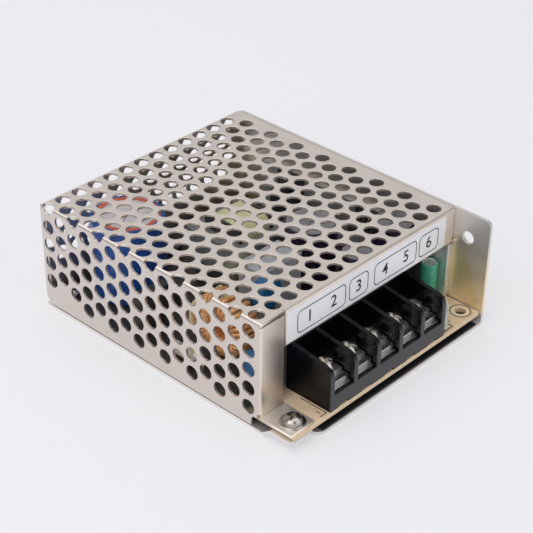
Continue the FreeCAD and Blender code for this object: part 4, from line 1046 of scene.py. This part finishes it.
def row_of_barrels(owner, look, radius, long, swell, bands):
    """Two barrels side by side along X, with painted bands."""
    low, high = span(owner)
    height = high.z - radius
    bodies, leads, rings = [], [], []
    for number, y in enumerate((low.y + radius, high.y - radius)):
        middle = Vector(((low.x + high.x) / 2, y, height))
        body, wires = barrel(f"{owner}_{number}", owner, middle, "x", radius, long, swell)
        bodies.append(body)
        leads.append(wires)
        reach = radius + 0.02
        for start, end in bands:
            band = [(reach - 0.1, start * long), (reach, start * long), (reach, end * long),
                    (reach - 0.1, end * long)]
            rings.append(lathe("band", band, middle, LYING["x"], 28))
    piece(joined(owner + "_bodies", bodies), look, owner, True)
    piece(joined(owner + "_leads", leads), "tinned_contact", owner)
    piece(joined(owner + "_bands", rings), "opto_white", owner)


row_of_barrels("power_resistors", "resistor_coat", 1.8, 9.0, 0.2, ((-0.44, -0.36), (0.36, 0.44)))
row_of_barrels("rectifier_diodes", "device_epoxy", 1.35, 5.2, 0.0, ((0.26, 0.42),))


def fuse_tube():
    """A ceramic tube between two metal caps."""
    low, high = span("fuse")
    cap_radius = (high.x - low.x) / 2
    middle = Vector(((low.x + high.x) / 2, (low.y + high.y) / 2, high.z - cap_radius))
    tube, leads = barrel("fuse_barrel", "fuse", middle, "y", cap_radius - 0.2, 10.5)
    piece(tube, "fuse_body", "fuse", True)
    caps = []
    for sign in (-1, 1):
        cap = rounded([(0, 5.3 * sign), (cap_radius, 5.3 * sign), (cap_radius, 3.25 * sign),
                       (cap_radius - 0.3, 3.25 * sign)], 0.4)
        caps.append(lathe("fuse_cap", cap, middle, LYING["y"], 32))
    piece(joined("fuse_caps", caps + [leads]), "tinned_contact", "fuse")


fuse_tube()


def drum():
    """The output inductor: a flanged drum with its turns between the flanges."""
    place, radius, tall = upright("output_inductor")
    flange = 1.2
    body = rounded([(0, 0), (radius, 0), (radius, flange), (radius - 0.9, flange),
                    (radius - 0.9, tall - flange), (radius, tall - flange), (radius, tall), (0, tall)], 0.25)
    piece(lathe("drum_body", body, place), "inductor_ferrite", "output_inductor", True)
    turns = []
    step = 0.6
    for number in range(int((tall - 2 * flange) / step)):
        start = flange + number * step
        turns += [(radius - 0.8, start), (radius - 0.52, start + step * 0.25),
                  (radius - 0.5, start + step * 0.5), (radius - 0.52, start + step * 0.75)]
    piece(lathe("drum_turns", turns, place), "copper_wire", "output_inductor", level=False)


drum()


def adjuster_wheel():
    """The adjuster's wheel with its crossed slots."""
    place, radius, tall = upright("trimmer_rotor")
    wheel = lathe("adjuster_wheel", rounded([(0, 0), (radius, 0), (radius, tall), (0, tall)], 0.2, 3), place)
    cuts = [block("slot", place + Vector((-x, -y, tall - 0.8)), place + Vector((x, y, tall + 1)), 0.05, 1)
            for x, y in ((radius * 1.1, 0.35), (0.35, 1.15))]
    piece(carve(wheel, cuts), "rotor_metal", "trimmer_rotor", True)


adjuster_wheel()


# The other inner parts and the label, with rounded edges

softened("transformer_core", 0.3)
softened("transformer_winding", 1.0, 4)
softened("box_capacitor", 0.6, 3)
softened("choke_base", 0.3)
softened("transformer_bobbin", 0.2)
for owner in ("bridge_rectifier", "optocoupler", "control_chip", "trimmer_body", "output_rectifier",
              "switching_transistor", "label_strip"):
    softened(owner, 0.12)


# Print and rings on the board

RING = 3.1


def board_print():
    low, high = span("circuit_board")
    top = high.z + 0.01
    hole = Vector((high.x - 3.6, low.y + 4.0, top))
    circle = [(hole.x + RING * math.cos(a), hole.y + RING * math.sin(a), top)
              for a in (math.radians(12 * step) for step in range(30))]
    lines = [wire("board_ring", circle, 0.13, True, False)]
    block_low, block_high = span("terminal_block")
    edge = low.y + 0.9
    for start, end in (((block_high.x + 1.2, edge), (block_high.x + 5.4, edge)),
                       ((block_high.x + 5.4, edge), (block_high.x + 5.4, edge + 2.2)),
                       ((block_high.x + 5.4, edge + 2.2), (block_high.x + 7.0, edge + 2.2)),
                       ((block_low.x - 0.7, low.y + 0.6), (block_low.x - 0.7, low.y + 10.0)),
                       ((block_low.x - 3.2, low.y + 0.9), (block_low.x - 0.7, low.y + 0.9))):
        lines.append(wire("board_line", [(*start, top), (*end, top)], 0.12, smooth=False))
    flat = Matrix()
    lines.append(figure("board_figure_7", "7", (block_high.x + 3.0, low.y + 2.4, top), 2.0, flat))
    lines.append(figure("board_figure_1", "1", (block_low.x - 2.0, low.y + 2.4, top), 2.0, flat))
    piece(joined("board_print", lines), "silk", "circuit_board")
    pad = lathe("board_pad", [(1.75, 0), (1.75, 0.06), (2.6, 0.06), (2.65, 0)], (hole.x, hole.y, high.z))
    piece(pad, "bare_ring", "circuit_board")


board_print()


# Stage, lights and camera

PAPER_GLOW = 0.5
PAPER_TONE = (0.87, 0.87, 0.905, 1)
FLOOR_HALF = 3000
FLOOR_DOWN = 0.00002
WORLD_COLOUR = (0.93, 0.94, 1.0, 1)
WORLD_LEVEL = 0.32
LENS_LONG = 102.45
SENSOR_WIDE = 36.0
CAMERA_PLACE = (-0.2690, -0.2500, 0.2569)
CAMERA_RIGHT = (0.68454, -0.72890, 0.01065)
CAMERA_AHEAD = (0.61411, 0.56874, -0.54718)
LAMP_AIM = (0, 0, 0.02)


def brighten(tree):
    """Lets rays that show the floor, straight or mirrored, see part of it at the paper's own tone."""
    path = tree.nodes.new("ShaderNodeLightPath").outputs
    seen = combined(tree, "MAXIMUM", path["Is Camera Ray"], path["Is Glossy Ray"])
    seen = combined(tree, "MAXIMUM", seen, path["Is Transmission Ray"])
    share = combined(tree, "MULTIPLY", seen, PAPER_GLOW)
    glow = node(tree, "Emission", Color=PAPER_TONE, Strength=1.0)
    mixed = tree.nodes.new("ShaderNodeMixShader")
    tree.links.new(share, mixed.inputs[0])
    tree.links.new(tree.nodes["Principled BSDF"].outputs[0], mixed.inputs[1])
    tree.links.new(glow.outputs[0], mixed.inputs[2])
    tree.links.new(mixed.outputs[0], tree.nodes["Material Output"].inputs["Surface"])


def stage():
    shape = bmesh.new()
    bmesh.ops.create_grid(shape, x_segments=1, y_segments=1, size=FLOOR_HALF)
    floor = from_bmesh("floor", shape)
    floor.location.z = -FLOOR_DOWN
    floor_look = finish("floor_paper", (0.88, 0.88, 0.90), 0.9, grain=200, vary=0.005, bump=0.0)
    brighten(floor_look.node_tree)
    floor.data.materials.append(floor_look)
    world = bpy.data.worlds.new("studio")
    bpy.context.scene.world = world
    world.use_nodes = True
    backdrop = world.node_tree.nodes["Background"]
    backdrop.inputs["Color"].default_value = WORLD_COLOUR
    backdrop.inputs["Strength"].default_value = WORLD_LEVEL


def lamp(name, place, size, power):
    data = bpy.data.lights.new(name, "AREA")
    data.shape = "RECTANGLE"
    data.size, data.size_y = size
    data.energy = power
    made = link(name, data)
    made.location = place
    made.rotation_mode = "QUATERNION"
    made.rotation_quaternion = (Vector(LAMP_AIM) - Vector(place)).to_track_quat("-Z", "Y")


def photo_camera():
    data = bpy.data.cameras.new("photo_camera")
    data.sensor_width = SENSOR_WIDE
    data.lens = LENS_LONG
    data.clip_start = 0.01
    made = link("photo_camera", data)
    right = Vector(CAMERA_RIGHT).normalized()
    ahead = Vector(CAMERA_AHEAD).normalized()
    up = right.cross(ahead).normalized()
    turn = Matrix((right, up, -ahead)).transposed()
    made.matrix_world = Matrix.Translation(CAMERA_PLACE) @ turn.to_4x4()
    bpy.context.scene.camera = made


stage()
lamp("overhead", (-0.2, 0.2, 0.95), (1.5, 1.5), 8.2)
lamp("left_fill", (-0.8, -0.3, 0.4), (0.8, 0.8), 2.4)
lamp("front_fill", (0.25, -0.9, 0.5), (0.8, 0.8), 1.6)
lamp("far_card", (0.80, 0.74, 0.72), (1.2, 1.2), 1.3)
photo_camera()
bpy.context.scene.view_settings.view_transform = "Standard"
